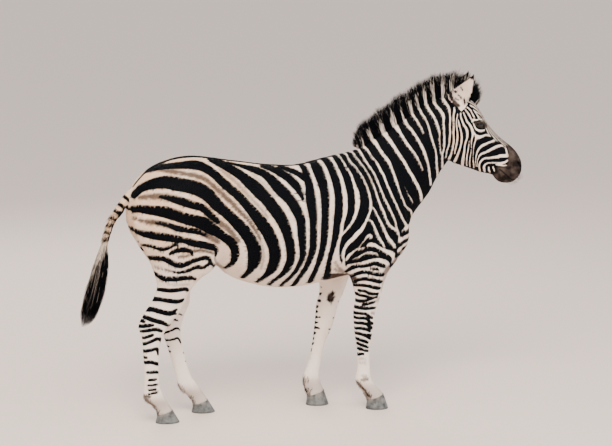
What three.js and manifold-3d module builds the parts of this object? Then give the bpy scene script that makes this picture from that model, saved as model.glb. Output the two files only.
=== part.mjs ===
// A plains zebra, standing, as a life-size still model. Millimetres, +Z up, +X towards the head,
// +Y to the animal's left, and z = 0 is the ground under the four hooves.
// The flesh is a few lofts joined into one body, and thin cuts then part it where a person would
// name its parts. The mane, ears, eyes, hooves and tail are pieces of their own.
import * as THREE from "three";
import { mergeVertices } from "three/addons/utils/BufferGeometryUtils.js";
import Module from "manifold-3d";

const wasm = await Module();
wasm.setup();

// ---- driving dimensions ------------------------------------------------------------------------
const GAP = 0.4; // between neighbouring pieces
const BIG = 4000; // reach of a cutting block
const MIDDLE_X = -22; // middle of the whole length, in the lofts' own x

// The neck and head turn a little to the animal's right, from the shoulder to the poll.
const TURN = THREE.MathUtils.degToRad(12);
const TURN_START = 300;
const TURN_END = 800;

const COLOUR = { coat: 0xe9dfd3, neck_coat: 0x2a282b, hair: 0x17161a, hoof: 0x7d7c78, eye: 0x120c09 };
const ROUGHNESS = { coat: 0.8, neck_coat: 0.8, hair: 0.75, hoof: 0.6, eye: 0.15 };

// ---- the lofts' rungs ---------------------------------------------------------------------------
// A rung crosses a part in side view, from its upper (or front) outline to its lower (or rear)
// one: [upper x, upper z, lower x, lower z, half width, egg, y of the middle].
// Egg above 0 makes the upper end the wider one.
const TRUNK = [
  [-915, 1135, -918, 1000, 105, 0.1, 0], // buttocks
  [-875, 1215, -885, 945, 152, 0.1, 0],
  [-800, 1290, -810, 860, 190, 0.08, 0], // tail head
  [-700, 1335, -700, 800, 217, 0.06, 0], // croup
  [-590, 1350, -590, 790, 229, 0.05, 0], // hips
  [-480, 1338, -480, 785, 234, 0, 0], // flank fold
  [-420, 1328, -420, 738, 240, 0, 0],
  [-340, 1316, -340, 698, 247, -0.05, 0], // loin
  [-200, 1296, -200, 661, 262, -0.08, 0], // belly
  [-50, 1289, -50, 656, 262, -0.1, 0], // barrel
  [90, 1318, 90, 676, 235, -0.14, 0], // girth
  [200, 1340, 230, 700, 206, -0.2, 0], // withers and elbows
  [300, 1350, 360, 722, 192, -0.22, 0],
  [400, 1290, 460, 755, 182, -0.1, 0], // shoulder
  [480, 1160, 530, 830, 150, 0, 0],
  [530, 1040, 556, 910, 103, 0, 0], // breast
];

const NECK = [
  [120, 1290, 430, 800, 130, -0.2, 0],
  [190, 1330, 520, 880, 148, -0.25, 0],
  [265, 1358, 553, 950, 138, -0.3, 0], // base of the neck
  [340, 1402, 575, 1005, 118, -0.3, 0],
  [430, 1455, 620, 1065, 98, -0.25, 0],
  [520, 1512, 660, 1120, 88, -0.2, 0], // middle of the crest
  [610, 1572, 695, 1190, 82, -0.15, 0],
  [700, 1612, 735, 1255, 80, -0.1, 0],
  [780, 1625, 780, 1310, 70, 0, 0], // poll, inside the head
];

const HEAD = [
  [745, 1590, 750, 1350, 60, 0.1, 0],
  [795, 1636, 762, 1290, 84, 0.12, 0], // poll and throat latch
  [850, 1618, 780, 1273, 93, 0.2, 0],
  [890, 1585, 815, 1262, 98, 0.28, 0], // forehead and jowl
  [920, 1543, 850, 1250, 100, 0.32, 0], // brow
  [945, 1502, 885, 1238, 92, 0.3, 0],
  [975, 1460, 920, 1225, 76, 0.22, 0],
  [1010, 1422, 955, 1218, 63, 0.14, 0], // bridge of the nose
  [1045, 1392, 985, 1210, 56, 0.06, 0],
  [1080, 1365, 1003, 1188, 56, 0.04, 0],
  [1112, 1332, 1025, 1172, 60, 0.08, 0], // nostrils and chin
  [1135, 1290, 1055, 1167, 61, 0.1, 0],
  [1139, 1245, 1085, 1172, 52, 0.08, 0], // lips
  [1125, 1212, 1108, 1188, 32, 0, 0],
];

// Legs as the animal's right ones stand; front outline first, rear one second.
const FORE_LEG = [
  [430, 1100, 180, 1080, 45, 0, -105],
  [495, 930, 165, 900, 72, 0, -122], // shoulder
  [478, 820, 178, 800, 76, 0.05, -122],
  [425, 745, 198, 730, 68, 0.1, -118], // elbow
  [395, 680, 222, 670, 58, 0.1, -113],
  [375, 600, 238, 600, 49, 0.05, -107], // forearm
  [352, 520, 230, 530, 42, 0, -100],
  [345, 450, 235, 455, 42, 0, -94], // knee
  [335, 390, 243, 390, 37, 0, -90],
  [326, 320, 254, 320, 28, 0, -85], // cannon
  [330, 230, 258, 230, 26, 0, -81],
  [338, 160, 250, 158, 32, 0, -78], // fetlock
  [368, 118, 282, 100, 28, 0, -77], // pastern
  [403, 78, 312, 48, 38, 0.1, -76], // coronet
  [432, 0, 308, 0, 48, 0.1, -75], // sole
  [445, -35, 306, -35, 51, 0.1, -75],
];

const HIND_LEG = [
  [-585, 1120, -840, 1130, 60, 0, -120],
  [-515, 985, -903, 1040, 92, 0, -128], // thigh
  [-475, 870, -880, 950, 98, 0.05, -128],
  [-500, 795, -838, 870, 92, 0.1, -127], // stifle
  [-565, 748, -808, 790, 78, 0.1, -123],
  [-615, 690, -790, 710, 62, 0.05, -119], // gaskin
  [-645, 630, -815, 640, 50, 0.1, -112],
  [-675, 570, -852, 580, 43, 0.2, -106],
  [-722, 515, -885, 512, 41, 0.2, -102], // hock
  [-755, 460, -868, 450, 36, 0.15, -98],
  [-775, 390, -863, 385, 30, 0.05, -94],
  [-778, 300, -858, 298, 26, 0, -88], // cannon
  [-775, 200, -858, 200, 26, 0, -83],
  [-752, 135, -858, 130, 31, 0, -79], // fetlock
  [-728, 95, -808, 78, 27, 0, -77], // pastern
  [-712, 66, -792, 40, 36, 0.1, -76], // coronet
  [-675, 0, -800, 0, 46, 0.1, -75], // sole
  [-655, -35, -805, -35, 50, 0.1, -75],
];

// The left legs stand apart from the right ones by this much in x at each height: [z, step].
const LEFT_FORE_STEP = [
  [0, -285],
  [80, -283],
  [160, -240],
  [300, -203],
  [420, -165],
  [560, -140],
  [720, -118],
  [950, 0],
];
const LEFT_HIND_STEP = [
  [0, 212],
  [130, 208],
  [250, 175],
  [400, 140],
  [500, 118],
  [620, 70],
  [740, 35],
  [860, 0],
];

// Heights of the cuts that part a leg: elbow or stifle, knee or hock, and fetlock.
const FORE_CUTS = { top: 735, mid: 425, low: 190 };
const HIND_CUTS = { top: 800, mid: 490, low: 165 };

// The neck is cut from the trunk and the head from the neck through these points.
const NECK_CUT = { x: 262, z: 1356, slope: -1.378 };
const POLL_CUT = { x: 776, z: 1450, lean: 0.06 };

const MANE = [
  [252, 1430, 275, 1352, 12, -0.3, 0],
  [285, 1493, 330, 1385, 19, -0.4, 0],
  [365, 1555, 410, 1435, 20, -0.4, 0],
  [460, 1624, 500, 1490, 20, -0.4, 0],
  [560, 1684, 590, 1545, 20, -0.4, 0],
  [655, 1735, 670, 1590, 20, -0.4, 0],
  [750, 1755, 750, 1612, 19, -0.4, 0],
  [830, 1745, 815, 1612, 18, -0.4, 0],
  [885, 1710, 850, 1600, 16, -0.4, 0],
  [910, 1660, 872, 1585, 14, -0.4, 0],
  [908, 1602, 890, 1570, 9, -0.2, 0], // forelock
];

const TAIL = [
  [-860, 1225, -880, 1140, 36, 0, 0],
  [-932, 1160, -915, 1102, 30, 0, 0], // root
  [-972, 1103, -937, 1065, 24, 0, 0],
  [-1006, 1050, -970, 1028, 21, 0, 0], // dock
  [-1030, 990, -994, 972, 20, 0, 0],
  [-1048, 930, -1010, 918, 21, 0, 0],
  [-1070, 865, -1012, 852, 26, 0, 0],
  [-1098, 790, -1014, 780, 34, 0, 0], // switch
  [-1128, 700, -1028, 690, 40, 0, 0],
  [-1153, 610, -1056, 595, 38, 0, 0],
  [-1172, 535, -1088, 520, 30, 0, 0],
  [-1182, 500, -1115, 488, 16, 0, 0],
];
const SWITCH_TOP = 930; // height where the dock's short hair gives way to the long switch

const EYE = { x: 909, y: 80.5, z: 1481, radius: 21.5 };
const NOSTRIL = { x: 1127, y: 47, z: 1258, radii: [10, 9, 15] };

// An ear is a leaf rolled into a cup that opens outwards. Its outline lists, up the ear from
// base to tip, the [part of the length, rim behind, rim in front] of the line between them.
const EAR = {
  base: [815, 1569],
  tip: [867, 1742],
  y: 82, // of the rim at the base, from the middle
  lean: 24, // how far the tip stands out beyond the base
  cup: 40,
  thick: 10,
};
const EAR_OUTLINE = [
  [0, -55, 5],
  [0.12, -87, 10],
  [0.22, -97, 18], // widest
  [0.35, -86, 24],
  [0.5, -68, 24],
  [0.65, -47, 21],
  [0.8, -24, 17],
  [0.92, -7, 11],
  [1, 0, 4],
];

// ---- shape functions ----------------------------------------------------------------------------

/** Heading of the neck and head at x, an angle that eases from 0 to TURN. */
function heading(x) {
  return TURN * THREE.MathUtils.smoothstep(x, TURN_START, TURN_END);
}

/** Carries a point of the straight animal to its place on the turned neck and head. */
function turned(x, y, z) {
  if (x <= TURN_START) return new THREE.Vector3(x, y, z);
  const steps = 24;
  const dx = (x - TURN_START) / steps;
  let [px, py] = [TURN_START, 0];
  for (let i = 0; i < steps; i++) {
    const a = heading(TURN_START + (i + 0.5) * dx);
    px += Math.cos(a) * dx;
    py -= Math.sin(a) * dx;
  }
  const a = heading(x);
  return new THREE.Vector3(px + y * Math.sin(a), py + y * Math.cos(a), z);
}

/** Straight-line interpolation, at `at`, of one column of a list whose first column rises. */
function along(list, at, column = 1) {
  const next = list.findIndex(([place]) => place > at);
  if (next === 0) return list[0][column];
  if (next < 0) return list.at(-1)[column];
  const [before, after] = [list[next - 1], list[next]];
  return THREE.MathUtils.mapLinear(at, before[0], after[0], before[column], after[column]);
}

/** A closed solid from a grid of `around` by `rows` points, worked out by point(t, angle). */
function closedGrid(around, rows, point) {
  const geometry = new THREE.SphereGeometry(1, around, rows);
  const position = geometry.attributes.position;
  for (let i = 0; i < position.count; i++) {
    const row = Math.floor(i / (around + 1));
    const angle = ((i % (around + 1)) % around) * ((2 * Math.PI) / around);
    position.setXYZ(i, ...point(row / rows, angle).toArray());
  }
  return solid(geometry);
}

/** A three.js geometry as a manifold-3d solid with its faces pointing out. */
function solid(geometry) {
  geometry.deleteAttribute("normal");
  geometry.deleteAttribute("uv");
  const merged = mergeVertices(geometry, 1e-3);
  const vertProperties = new Float32Array(merged.attributes.position.array);
  const triVerts = new Uint32Array(merged.index.array);
  const make = () =>
    new wasm.Manifold(new wasm.Mesh({ numProp: 3, vertProperties, triVerts }));
  const made = make();
  if (made.volume() >= 0) return made;
  for (let i = 0; i < triVerts.length; i += 3)
    [triVerts[i + 1], triVerts[i + 2]] = [triVerts[i + 2], triVerts[i + 1]];
  return make();
}

/** How full a section is at t: it closes in a quarter ellipse over `cap` at both ends. */
function fullness(t, cap) {
  const end = Math.min(t, 1 - t) / cap;
  return end >= 1 ? 1 : Math.sqrt(Math.max(0, end * (2 - end)));
}

/** A loft through the rungs. Sections are ovals, squarer below box = 1; grow widens them all. */
function loft(rungs, { around, rows, cap = 0.05, box = 1, grow = 0, side = 1, step = null }) {
  const curve = (pick) => new THREE.CatmullRomCurve3(rungs.map(pick), false, "catmullrom");
  const shift = (z) => (step ? along(step, z) : 0);
  const upper = curve(([x, z]) => new THREE.Vector3(x + shift(z), 0, z));
  const lower = curve(([, , x, z]) => new THREE.Vector3(x + shift(z), 0, z));
  const shape = curve(([, , , , half, egg, y]) => new THREE.Vector3(half, egg, y));
  const squared = (v) => Math.sign(v) * Math.abs(v) ** box;
  return closedGrid(around, rows, (v, angle) => {
    const t = THREE.MathUtils.lerp(v, (1 - Math.cos(Math.PI * v)) / 2, 0.4);
    const [a, b, s] = [upper.getPoint(t), lower.getPoint(t), shape.getPoint(t)];
    const middle = a.clone().add(b).multiplyScalar(0.5);
    const arm = a.clone().sub(b).multiplyScalar(0.5);
    arm.setLength(arm.length() + grow);
    const full = fullness(t, cap);
    const [c, w] = [Math.cos(angle), Math.sin(angle)];
    middle.addScaledVector(arm, full * squared(c));
    const half = (s.x + grow) * (1 + s.y * c);
    return turned(middle.x, side * s.z + full * squared(w) * half, middle.z);
  });
}

/** One ear, a cupped leaf: t runs from base to tip, the angle round its two faces. */
function ear(side) {
  const [base, tip] = [EAR.base, EAR.tip].map(([x, z]) => new THREE.Vector3(x, 0, z));
  const up = tip.clone().sub(base);
  const forward = new THREE.Vector3(up.z, 0, -up.x).normalize();
  return closedGrid(14, 12, (t, angle) => {
    const [behind, front] = [along(EAR_OUTLINE, t, 1), along(EAR_OUTLINE, t, 2)];
    const full = fullness(t, 0.08);
    const [c, s] = [Math.cos(angle), Math.sin(angle)];
    const wide = (front + behind) / 2 + (full * c * (front - behind)) / 2;
    const hollow = EAR.cup * (1 - t) ** 0.8 * s * s + (EAR.thick / 2) * s;
    const p = base.clone().addScaledVector(up, t).addScaledVector(forward, wide);
    return turned(p.x, side * (EAR.y + EAR.lean * t - hollow * full), p.z);
  });
}

/** A ball, or an egg of three radii, at a place on the turned head. */
function ball(x, y, z, [rx, ry, rz], around = 12, rows = 8) {
  const geometry = new THREE.SphereGeometry(1, around, rows);
  geometry.rotateX(Math.PI / 2);
  geometry.scale(rx, ry, rz);
  geometry.rotateZ(-heading(x));
  geometry.translate(...turned(x, y, z).toArray());
  return solid(geometry);
}

/** A half space as a big block: everything below the plane through (x, z) that rises by `slope`. */
function below(x, z, slope = 0) {
  const geometry = new THREE.BoxGeometry(BIG, BIG, BIG);
  geometry.translate(0, 0, -BIG / 2);
  geometry.rotateY(-Math.atan(slope));
  geometry.translate(x, 0, z);
  return solid(geometry);
}

/** Everything in front of the plane square to the head at (x, z), which leans forward by `lean`. */
function before(x, z, lean) {
  const geometry = new THREE.BoxGeometry(BIG, BIG, BIG);
  geometry.translate(BIG / 2, 0, 0);
  geometry.rotateY(Math.atan(lean));
  geometry.rotateZ(-heading(x));
  geometry.translate(...turned(x, 0, z).toArray());
  return solid(geometry);
}

/** A block between two corners. */
function block(x0, x1, y0, y1, z0, z1) {
  const geometry = new THREE.BoxGeometry(x1 - x0, y1 - y0, z1 - z0);
  geometry.translate((x0 + x1) / 2, (y0 + y1) / 2, (z0 + z1) / 2);
  return solid(geometry);
}

// ---- building the body --------------------------------------------------------------------------

function torso(grow = 0) {
  const trunk = loft(TRUNK, { around: 26, rows: 21, cap: 0.06, box: 0.94, grow });
  const neck = loft(NECK, { around: 18, rows: 12, cap: 0.06, grow });
  const head = loft(HEAD, { around: 20, rows: 24, cap: 0.045, box: 0.92, grow });
  return trunk.add(neck).add(head);
}

function leg({ rungs, side, step }, grow = 0) {
  return loft(rungs, { around: 12, rows: 26, cap: 0.03, box: 0.95, side, step, grow });
}

const LEGS = [
  { name: "fore_right", rungs: FORE_LEG, cuts: FORE_CUTS, side: 1, step: null },
  { name: "fore_left", rungs: FORE_LEG, cuts: FORE_CUTS, side: -1, step: LEFT_FORE_STEP },
  { name: "hind_right", rungs: HIND_LEG, cuts: HIND_CUTS, side: 1, step: null },
  { name: "hind_left", rungs: HIND_LEG, cuts: HIND_CUTS, side: -1, step: LEFT_HIND_STEP },
];

const pieces = [];
const body = torso();
const clear = torso(GAP); // the body with the gap round it, to trim what stands on it
let flesh = body;

for (const design of LEGS) {
  const { name, cuts, rungs, step } = design;
  const whole = leg(design);
  const shift = step ? along(step, 50) : 0;
  const [front, rear] = [rungs.at(-3), rungs.at(-3)];
  const slope = (front[1] - rear[3]) / (front[0] - rear[2]);
  const coronet = (lift) => below(front[0] + shift, front[1] + lift, slope);
  const ground = block(-BIG, BIG, -BIG, BIG, -BIG, 0);
  const slice = (low, high) => block(-BIG, BIG, -BIG, BIG, low, high);
  pieces.push(
    [`${name}_upper`, whole.intersect(slice(cuts.mid + GAP, cuts.top)), "coat"],
    [`${name}_cannon`, whole.intersect(slice(cuts.low + GAP, cuts.mid)), "coat"],
    [`${name}_pastern`, whole.intersect(slice(0, cuts.low)).subtract(coronet(GAP)), "coat"],
    [`${name}_hoof`, whole.intersect(coronet(0)).subtract(ground), "hoof"],
  );
  flesh = flesh.add(whole.intersect(slice(cuts.top, BIG)));
  flesh = flesh.subtract(leg(design, GAP).intersect(slice(-BIG, cuts.top + GAP)));
}

// The neck meets the trunk on a plane from the withers to the breast, and the head meets the
// neck on one that runs down behind the ears and the jaw.
const atBreast = (lift) => below(NECK_CUT.x, NECK_CUT.z + lift, NECK_CUT.slope);
const atPoll = (lift) => before(POLL_CUT.x - lift, POLL_CUT.z, POLL_CUT.lean);
pieces.push(["trunk", flesh.intersect(atBreast(0)), "coat"]);
pieces.push(["neck", flesh.subtract(atBreast(2 * GAP)).subtract(atPoll(GAP)), "neck_coat"]);

const sides = { right: -1, left: 1 };
let head = flesh.subtract(atBreast(2 * GAP)).intersect(atPoll(0));
for (const [name, side] of Object.entries(sides)) {
  const { x, y, z, radius } = EYE;
  head = head.subtract(ball(x, side * y, z, Array(3).fill(radius + GAP)));
  head = head.subtract(ball(NOSTRIL.x, side * NOSTRIL.y, NOSTRIL.z, NOSTRIL.radii, 8, 6));
  pieces.push([`eye_${name}`, ball(x, side * y, z, Array(3).fill(radius)), "eye"]);
  pieces.push([`ear_${name}`, ear(side).subtract(clear), "coat"]);
}
pieces.push(["head", head, "coat"]);

const mane = loft(MANE, { around: 8, rows: 18, cap: 0.06 });
pieces.push(["mane", mane.subtract(clear), "hair"]);

const tail = loft(TAIL, { around: 10, rows: 18, cap: 0.05 }).subtract(clear);
const switchEnd = block(-BIG, BIG, -BIG, BIG, -BIG, SWITCH_TOP);
const dockEnd = block(-BIG, BIG, -BIG, BIG, SWITCH_TOP + GAP, BIG);
pieces.push(["tail_dock", tail.intersect(dockEnd), "coat"]);
pieces.push(["tail_switch", tail.intersect(switchEnd), "hair"]);

// ---- the group ----------------------------------------------------------------------------------

const group = new THREE.Group();
group.name = "zebra";
for (const [name, shape, colour] of pieces) {
  const { vertProperties, triVerts } = shape.getMesh();
  const geometry = new THREE.BufferGeometry();
  geometry.setAttribute("position", new THREE.BufferAttribute(vertProperties, 3));
  geometry.setIndex(new THREE.BufferAttribute(triVerts, 1));
  geometry.translate(-MIDDLE_X, 0, 0);
  geometry.computeVertexNormals();
  const material = new THREE.MeshStandardMaterial({
    color: COLOUR[colour],
    roughness: ROUGHNESS[colour],
    metalness: 0,
  });
  material.name = colour;
  const mesh = new THREE.Mesh(geometry, material);
  mesh.name = name;
  group.add(mesh);
}

export default group;
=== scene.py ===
import math

import bmesh
import bpy
import numpy as np
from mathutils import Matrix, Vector


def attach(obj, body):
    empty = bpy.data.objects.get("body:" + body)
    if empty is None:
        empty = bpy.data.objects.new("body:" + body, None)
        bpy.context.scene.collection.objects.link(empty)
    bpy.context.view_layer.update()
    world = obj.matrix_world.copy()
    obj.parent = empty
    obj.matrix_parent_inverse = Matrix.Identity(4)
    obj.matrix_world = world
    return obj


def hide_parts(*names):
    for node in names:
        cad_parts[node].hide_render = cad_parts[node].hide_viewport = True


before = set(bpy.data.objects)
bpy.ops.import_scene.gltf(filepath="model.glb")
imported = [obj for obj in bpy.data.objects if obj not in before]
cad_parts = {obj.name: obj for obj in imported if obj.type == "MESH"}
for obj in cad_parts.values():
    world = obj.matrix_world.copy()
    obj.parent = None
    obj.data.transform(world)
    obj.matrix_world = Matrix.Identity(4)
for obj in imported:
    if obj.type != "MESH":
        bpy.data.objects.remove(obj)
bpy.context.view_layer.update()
rng = np.random.default_rng(11)

# %% [markdown]
# ## The straight animal and the turned one
# The neck's heading eases from 0 at the shoulder to 12 degrees at the poll. A point keeps its
# distance from the middle plane and its height, and its x becomes length along the turned line.
# %% Turning the neck and head
MIDDLE_X = -0.022
TURN = math.radians(12)
TURN_START, TURN_END = 0.30, 0.80


def heading(x):
    """The neck's heading at x: TURN times smoothstep between the two ends."""
    s = np.clip((x - TURN_START) / (TURN_END - TURN_START), 0, 1)
    return TURN * s * s * (3 - 2 * s)


LINE_X = np.linspace(TURN_START, 1.4, 1101)
MID_A = heading((LINE_X[1:] + LINE_X[:-1]) / 2)
LINE_DX = np.diff(LINE_X)
TURNED_X = TURN_START + np.concatenate([[0], np.cumsum(np.cos(MID_A) * LINE_DX)])
TURNED_Y = -np.concatenate([[0], np.cumsum(np.sin(MID_A) * LINE_DX)])


def turned(p):
    """Points of the straight animal on the turned one, in the frame's own coordinates."""
    x, y, z = p[..., 0], p[..., 1], p[..., 2]
    a = heading(x)
    front = x > TURN_START
    px = np.where(front, np.interp(x, LINE_X, TURNED_X), x)
    py = np.where(front, np.interp(x, LINE_X, TURNED_Y), 0)
    return np.stack([px + y * np.sin(a) - MIDDLE_X, py + y * np.cos(a), z], -1)


# %% [markdown]
# ## The rungs
# A rung crosses a part in side view, from its upper (or front) outline to its lower (or rear)
# one, in millimetres: upper x, upper z, lower x, lower z, half width, egg, y of the middle.
# Egg above 0 makes the upper end the wider one. An animal has no straight edges to measure, and
# rungs are easy to take in side view and to correct one by one.
# %% Rungs of the body
TRUNK = [
    [-915, 1135, -918, 1000, 105, 0.1, 0],
    [-875, 1215, -885, 945, 152, 0.1, 0],
    [-800, 1290, -810, 860, 190, 0.08, 0],
    [-700, 1335, -700, 800, 217, 0.06, 0],
    [-590, 1350, -590, 790, 229, 0.05, 0],
    [-480, 1338, -480, 785, 234, 0, 0],
    [-420, 1328, -420, 738, 240, 0, 0],
    [-340, 1316, -340, 698, 247, -0.05, 0],
    [-200, 1296, -200, 661, 262, -0.08, 0],
    [-50, 1289, -50, 656, 262, -0.1, 0],
    [90, 1318, 90, 676, 235, -0.14, 0],
    [200, 1340, 230, 700, 206, -0.2, 0],
    [300, 1350, 360, 722, 192, -0.22, 0],
    [400, 1290, 460, 755, 182, -0.1, 0],
    [480, 1160, 530, 830, 150, 0, 0],
    [530, 1040, 556, 910, 103, 0, 0],
]
NECK = [
    [120, 1290, 430, 800, 130, -0.2, 0],
    [190, 1330, 520, 880, 148, -0.25, 0],
    [265, 1358, 553, 950, 138, -0.3, 0],
    [340, 1402, 575, 1005, 118, -0.3, 0],
    [430, 1455, 620, 1065, 98, -0.25, 0],
    [520, 1512, 660, 1120, 88, -0.2, 0],
    [610, 1572, 695, 1190, 82, -0.15, 0],
    [700, 1612, 735, 1255, 80, -0.1, 0],
    [780, 1625, 780, 1310, 70, 0, 0],
]
HEAD = [
    [745, 1590, 750, 1350, 60, 0.1, 0],
    [795, 1636, 762, 1290, 84, 0.12, 0],
    [850, 1618, 780, 1273, 93, 0.2, 0],
    [890, 1585, 815, 1262, 98, 0.28, 0],
    [920, 1543, 850, 1250, 100, 0.32, 0],
    [945, 1502, 885, 1238, 92, 0.3, 0],
    [975, 1460, 920, 1225, 76, 0.22, 0],
    [1010, 1422, 955, 1218, 63, 0.14, 0],
    [1045, 1392, 985, 1210, 56, 0.06, 0],
    [1080, 1365, 1003, 1188, 56, 0.04, 0],
    [1112, 1332, 1025, 1172, 60, 0.08, 0],
    [1135, 1290, 1055, 1167, 61, 0.1, 0],
    [1139, 1245, 1085, 1172, 52, 0.08, 0],
    [1125, 1212, 1108, 1188, 32, 0, 0],
]
# %% Rungs of the legs and the tail
FORE_LEG = [
    [430, 1100, 180, 1080, 45, 0, -105],
    [495, 930, 165, 900, 72, 0, -122],
    [478, 820, 178, 800, 76, 0.05, -122],
    [425, 745, 198, 730, 68, 0.1, -118],
    [395, 680, 222, 670, 58, 0.1, -113],
    [375, 600, 238, 600, 49, 0.05, -107],
    [352, 520, 230, 530, 42, 0, -100],
    [345, 450, 235, 455, 42, 0, -94],
    [335, 390, 243, 390, 37, 0, -90],
    [326, 320, 254, 320, 28, 0, -85],
    [330, 230, 258, 230, 26, 0, -81],
    [338, 160, 250, 158, 32, 0, -78],
    [368, 118, 282, 100, 28, 0, -77],
    [403, 78, 312, 48, 38, 0.1, -76],
    [432, 0, 308, 0, 48, 0.1, -75],
    [445, -35, 306, -35, 51, 0.1, -75],
]
HIND_LEG = [
    [-585, 1120, -840, 1130, 60, 0, -120],
    [-515, 985, -903, 1040, 92, 0, -128],
    [-475, 870, -880, 950, 98, 0.05, -128],
    [-500, 795, -838, 870, 92, 0.1, -127],
    [-565, 748, -808, 790, 78, 0.1, -123],
    [-615, 690, -790, 710, 62, 0.05, -119],
    [-645, 630, -815, 640, 50, 0.1, -112],
    [-675, 570, -852, 580, 43, 0.2, -106],
    [-722, 515, -885, 512, 41, 0.2, -102],
    [-755, 460, -868, 450, 36, 0.15, -98],
    [-775, 390, -863, 385, 30, 0.05, -94],
    [-778, 300, -858, 298, 26, 0, -88],
    [-775, 200, -858, 200, 26, 0, -83],
    [-752, 135, -858, 130, 31, 0, -79],
    [-728, 95, -808, 78, 27, 0, -77],
    [-712, 66, -792, 40, 36, 0.1, -76],
    [-675, 0, -800, 0, 46, 0.1, -75],
    [-655, -35, -805, -35, 50, 0.1, -75],
]
# How far each left leg stands from its right twin in x, by height.
LEFT_FORE_STEP = [
    [0, -285], [80, -283], [160, -240], [300, -203],
    [420, -165], [560, -140], [720, -118], [950, 0],
]
LEFT_HIND_STEP = [
    [0, 212], [130, 208], [250, 175], [400, 140],
    [500, 118], [620, 70], [740, 35], [860, 0],
]
TAIL = [
    [-860, 1225, -880, 1140, 36, 0, 0],
    [-932, 1160, -915, 1102, 30, 0, 0],
    [-972, 1103, -937, 1065, 24, 0, 0],
    [-1006, 1050, -970, 1028, 21, 0, 0],
    [-1030, 990, -994, 972, 20, 0, 0],
    [-1048, 930, -1010, 918, 21, 0, 0],
]

# %% [markdown]
# ## Lofts
# A loft runs through its rungs on a smooth curve. Each section is an oval about the rung's
# middle, and the first and last sections close in a quarter ellipse. Sculpting by hand would give
# such shapes too, but a loft keeps the measures and comes out the same each time.
# %% Loft functions


def smooth_curve(points, t):
    """A uniform Catmull-Rom curve through the points, at t from 0 to 1."""
    p = np.asarray(points, float)
    p = np.vstack([2 * p[0] - p[1], p, 2 * p[-1] - p[-2]])
    n = len(p) - 3
    i = np.minimum((t * n).astype(int), n - 1)
    w = (t * n - i)[:, None]
    a, b, c, d = p[i], p[i + 1], p[i + 2], p[i + 3]
    ta, tb = (c - a) / 2, (d - b) / 2
    return (
        (2 * w**3 - 3 * w**2 + 1) * b + (w**3 - 2 * w**2 + w) * ta
        + (3 * w**2 - 2 * w**3) * c + (w**3 - w**2) * tb
    )


def fullness(t, cap):
    """1 in the middle, closing to 0 at both ends as a quarter ellipse over `cap`."""
    end = np.clip(np.minimum(t, 1 - t) / cap, 0, 1)
    return np.sqrt(end * (2 - end))


def boxed(value, box):
    """The value's sign times its size to the power of `box`, which under 1 squares an oval."""
    return np.sign(value) * np.abs(value) ** box


def step_at(step, z):
    """A left leg's shift in x at height z, or 0 for a right one."""
    return 0 if step is None else np.interp(z, *np.array(step, float).T)


def loft(rungs, around, rows, cap, box=1.0, grow=0.0, side=1, step=None):
    """Grid of points (rows + 1, around, 3) in metres: middle + arm cos + width sin."""
    r = np.array(rungs, float)
    v = np.linspace(0, 1, rows + 1)
    t = v + 0.4 * ((1 - np.cos(np.pi * v)) / 2 - v)
    r[:, 0] += step_at(step, r[:, 1])
    r[:, 2] += step_at(step, r[:, 3])
    c = smooth_curve(r, t)
    top, low = c[:, 0:2], c[:, 2:4]
    middle, arm = (top + low) / 2, (top - low) / 2
    length = np.linalg.norm(arm, axis=1, keepdims=True)
    arm = arm * (length + grow * 1000) / length
    angle = np.linspace(0, 2 * np.pi, around, endpoint=False)
    cos, sin = np.cos(angle), np.sin(angle)
    full = fullness(t, cap)[:, None]
    x = middle[:, :1] + arm[:, :1] * full * boxed(cos, box)
    z = middle[:, 1:] + arm[:, 1:] * full * boxed(cos, box)
    half = (c[:, 4:5] + grow * 1000) * (1 + c[:, 5:6] * cos)
    y = side * c[:, 6:7] + full * boxed(sin, box) * half
    return np.stack([x, y, z], -1) / 1000


def tube_faces(rows, around, start=0):
    """Quads of a closed grid whose first and last rows have shrunk to points."""
    i, j = np.meshgrid(np.arange(rows), np.arange(around), indexing="ij")
    k = (j + 1) % around
    quads = np.stack([i * around + j, i * around + k, (i + 1) * around + k, (i + 1) * around + j], -1)
    return quads.reshape(-1, 4) + start


def srgb(text):
    """A hex sRGB colour as linear (r, g, b, 1)."""
    value = [int(text[i:i + 2], 16) / 255 for i in (1, 3, 5)]
    return [v / 12.92 if v <= 0.04045 else ((v + 0.055) / 1.055) ** 2.4 for v in value] + [1.0]


# %% [markdown]
# ## One skin over all the flesh
# On the animal a single hide covers trunk, neck, head, ears, legs and tail, so the skin is one
# mesh: parts put side by side would show a seam round each limb. Each part is lofted a coat's
# depth inside its solid, the lofts are joined, and a voxel remesh grows them into one surface.
# The ears are leaves, hollow towards the side.
# %% Helpers for meshes
COAT_DEPTH = {"trunk": 0.005, "head": 0.0025, "ear": 0.0012, "leg": 0.003, "tail": 0.003}


def new_object(name, verts, faces):
    """A mesh object from an array of points and an (n, corners) array of faces."""
    faces = np.asarray(faces, np.int32)
    mesh = bpy.data.meshes.new(name)
    mesh.vertices.add(verts.size // 3)
    mesh.vertices.foreach_set("co", np.ascontiguousarray(verts, np.float32).ravel())
    mesh.loops.add(faces.size)
    mesh.loops.foreach_set("vertex_index", faces.ravel())
    mesh.polygons.add(len(faces))
    mesh.polygons.foreach_set("loop_start", np.arange(0, faces.size, faces.shape[1], dtype=np.int32))
    mesh.update(calc_edges=True)
    obj = bpy.data.objects.new(name, mesh)
    bpy.context.collection.objects.link(obj)
    return obj


def read(items, field, width, kind=float):
    """One field of all the items, a row of `width` numbers for each."""
    values = np.empty(len(items) * width, kind)
    items.foreach_get(field, values)
    return values.reshape(-1, width)


def points_of(obj):
    """The object's points as an (n, 3) array."""
    return read(obj.data.vertices, "co", 3)


def set_points(obj, points):
    """Moves the object's points to the rows of an (n, 3) array."""
    obj.data.vertices.foreach_set("co", np.ascontiguousarray(points).ravel())
    obj.data.update()


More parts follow.
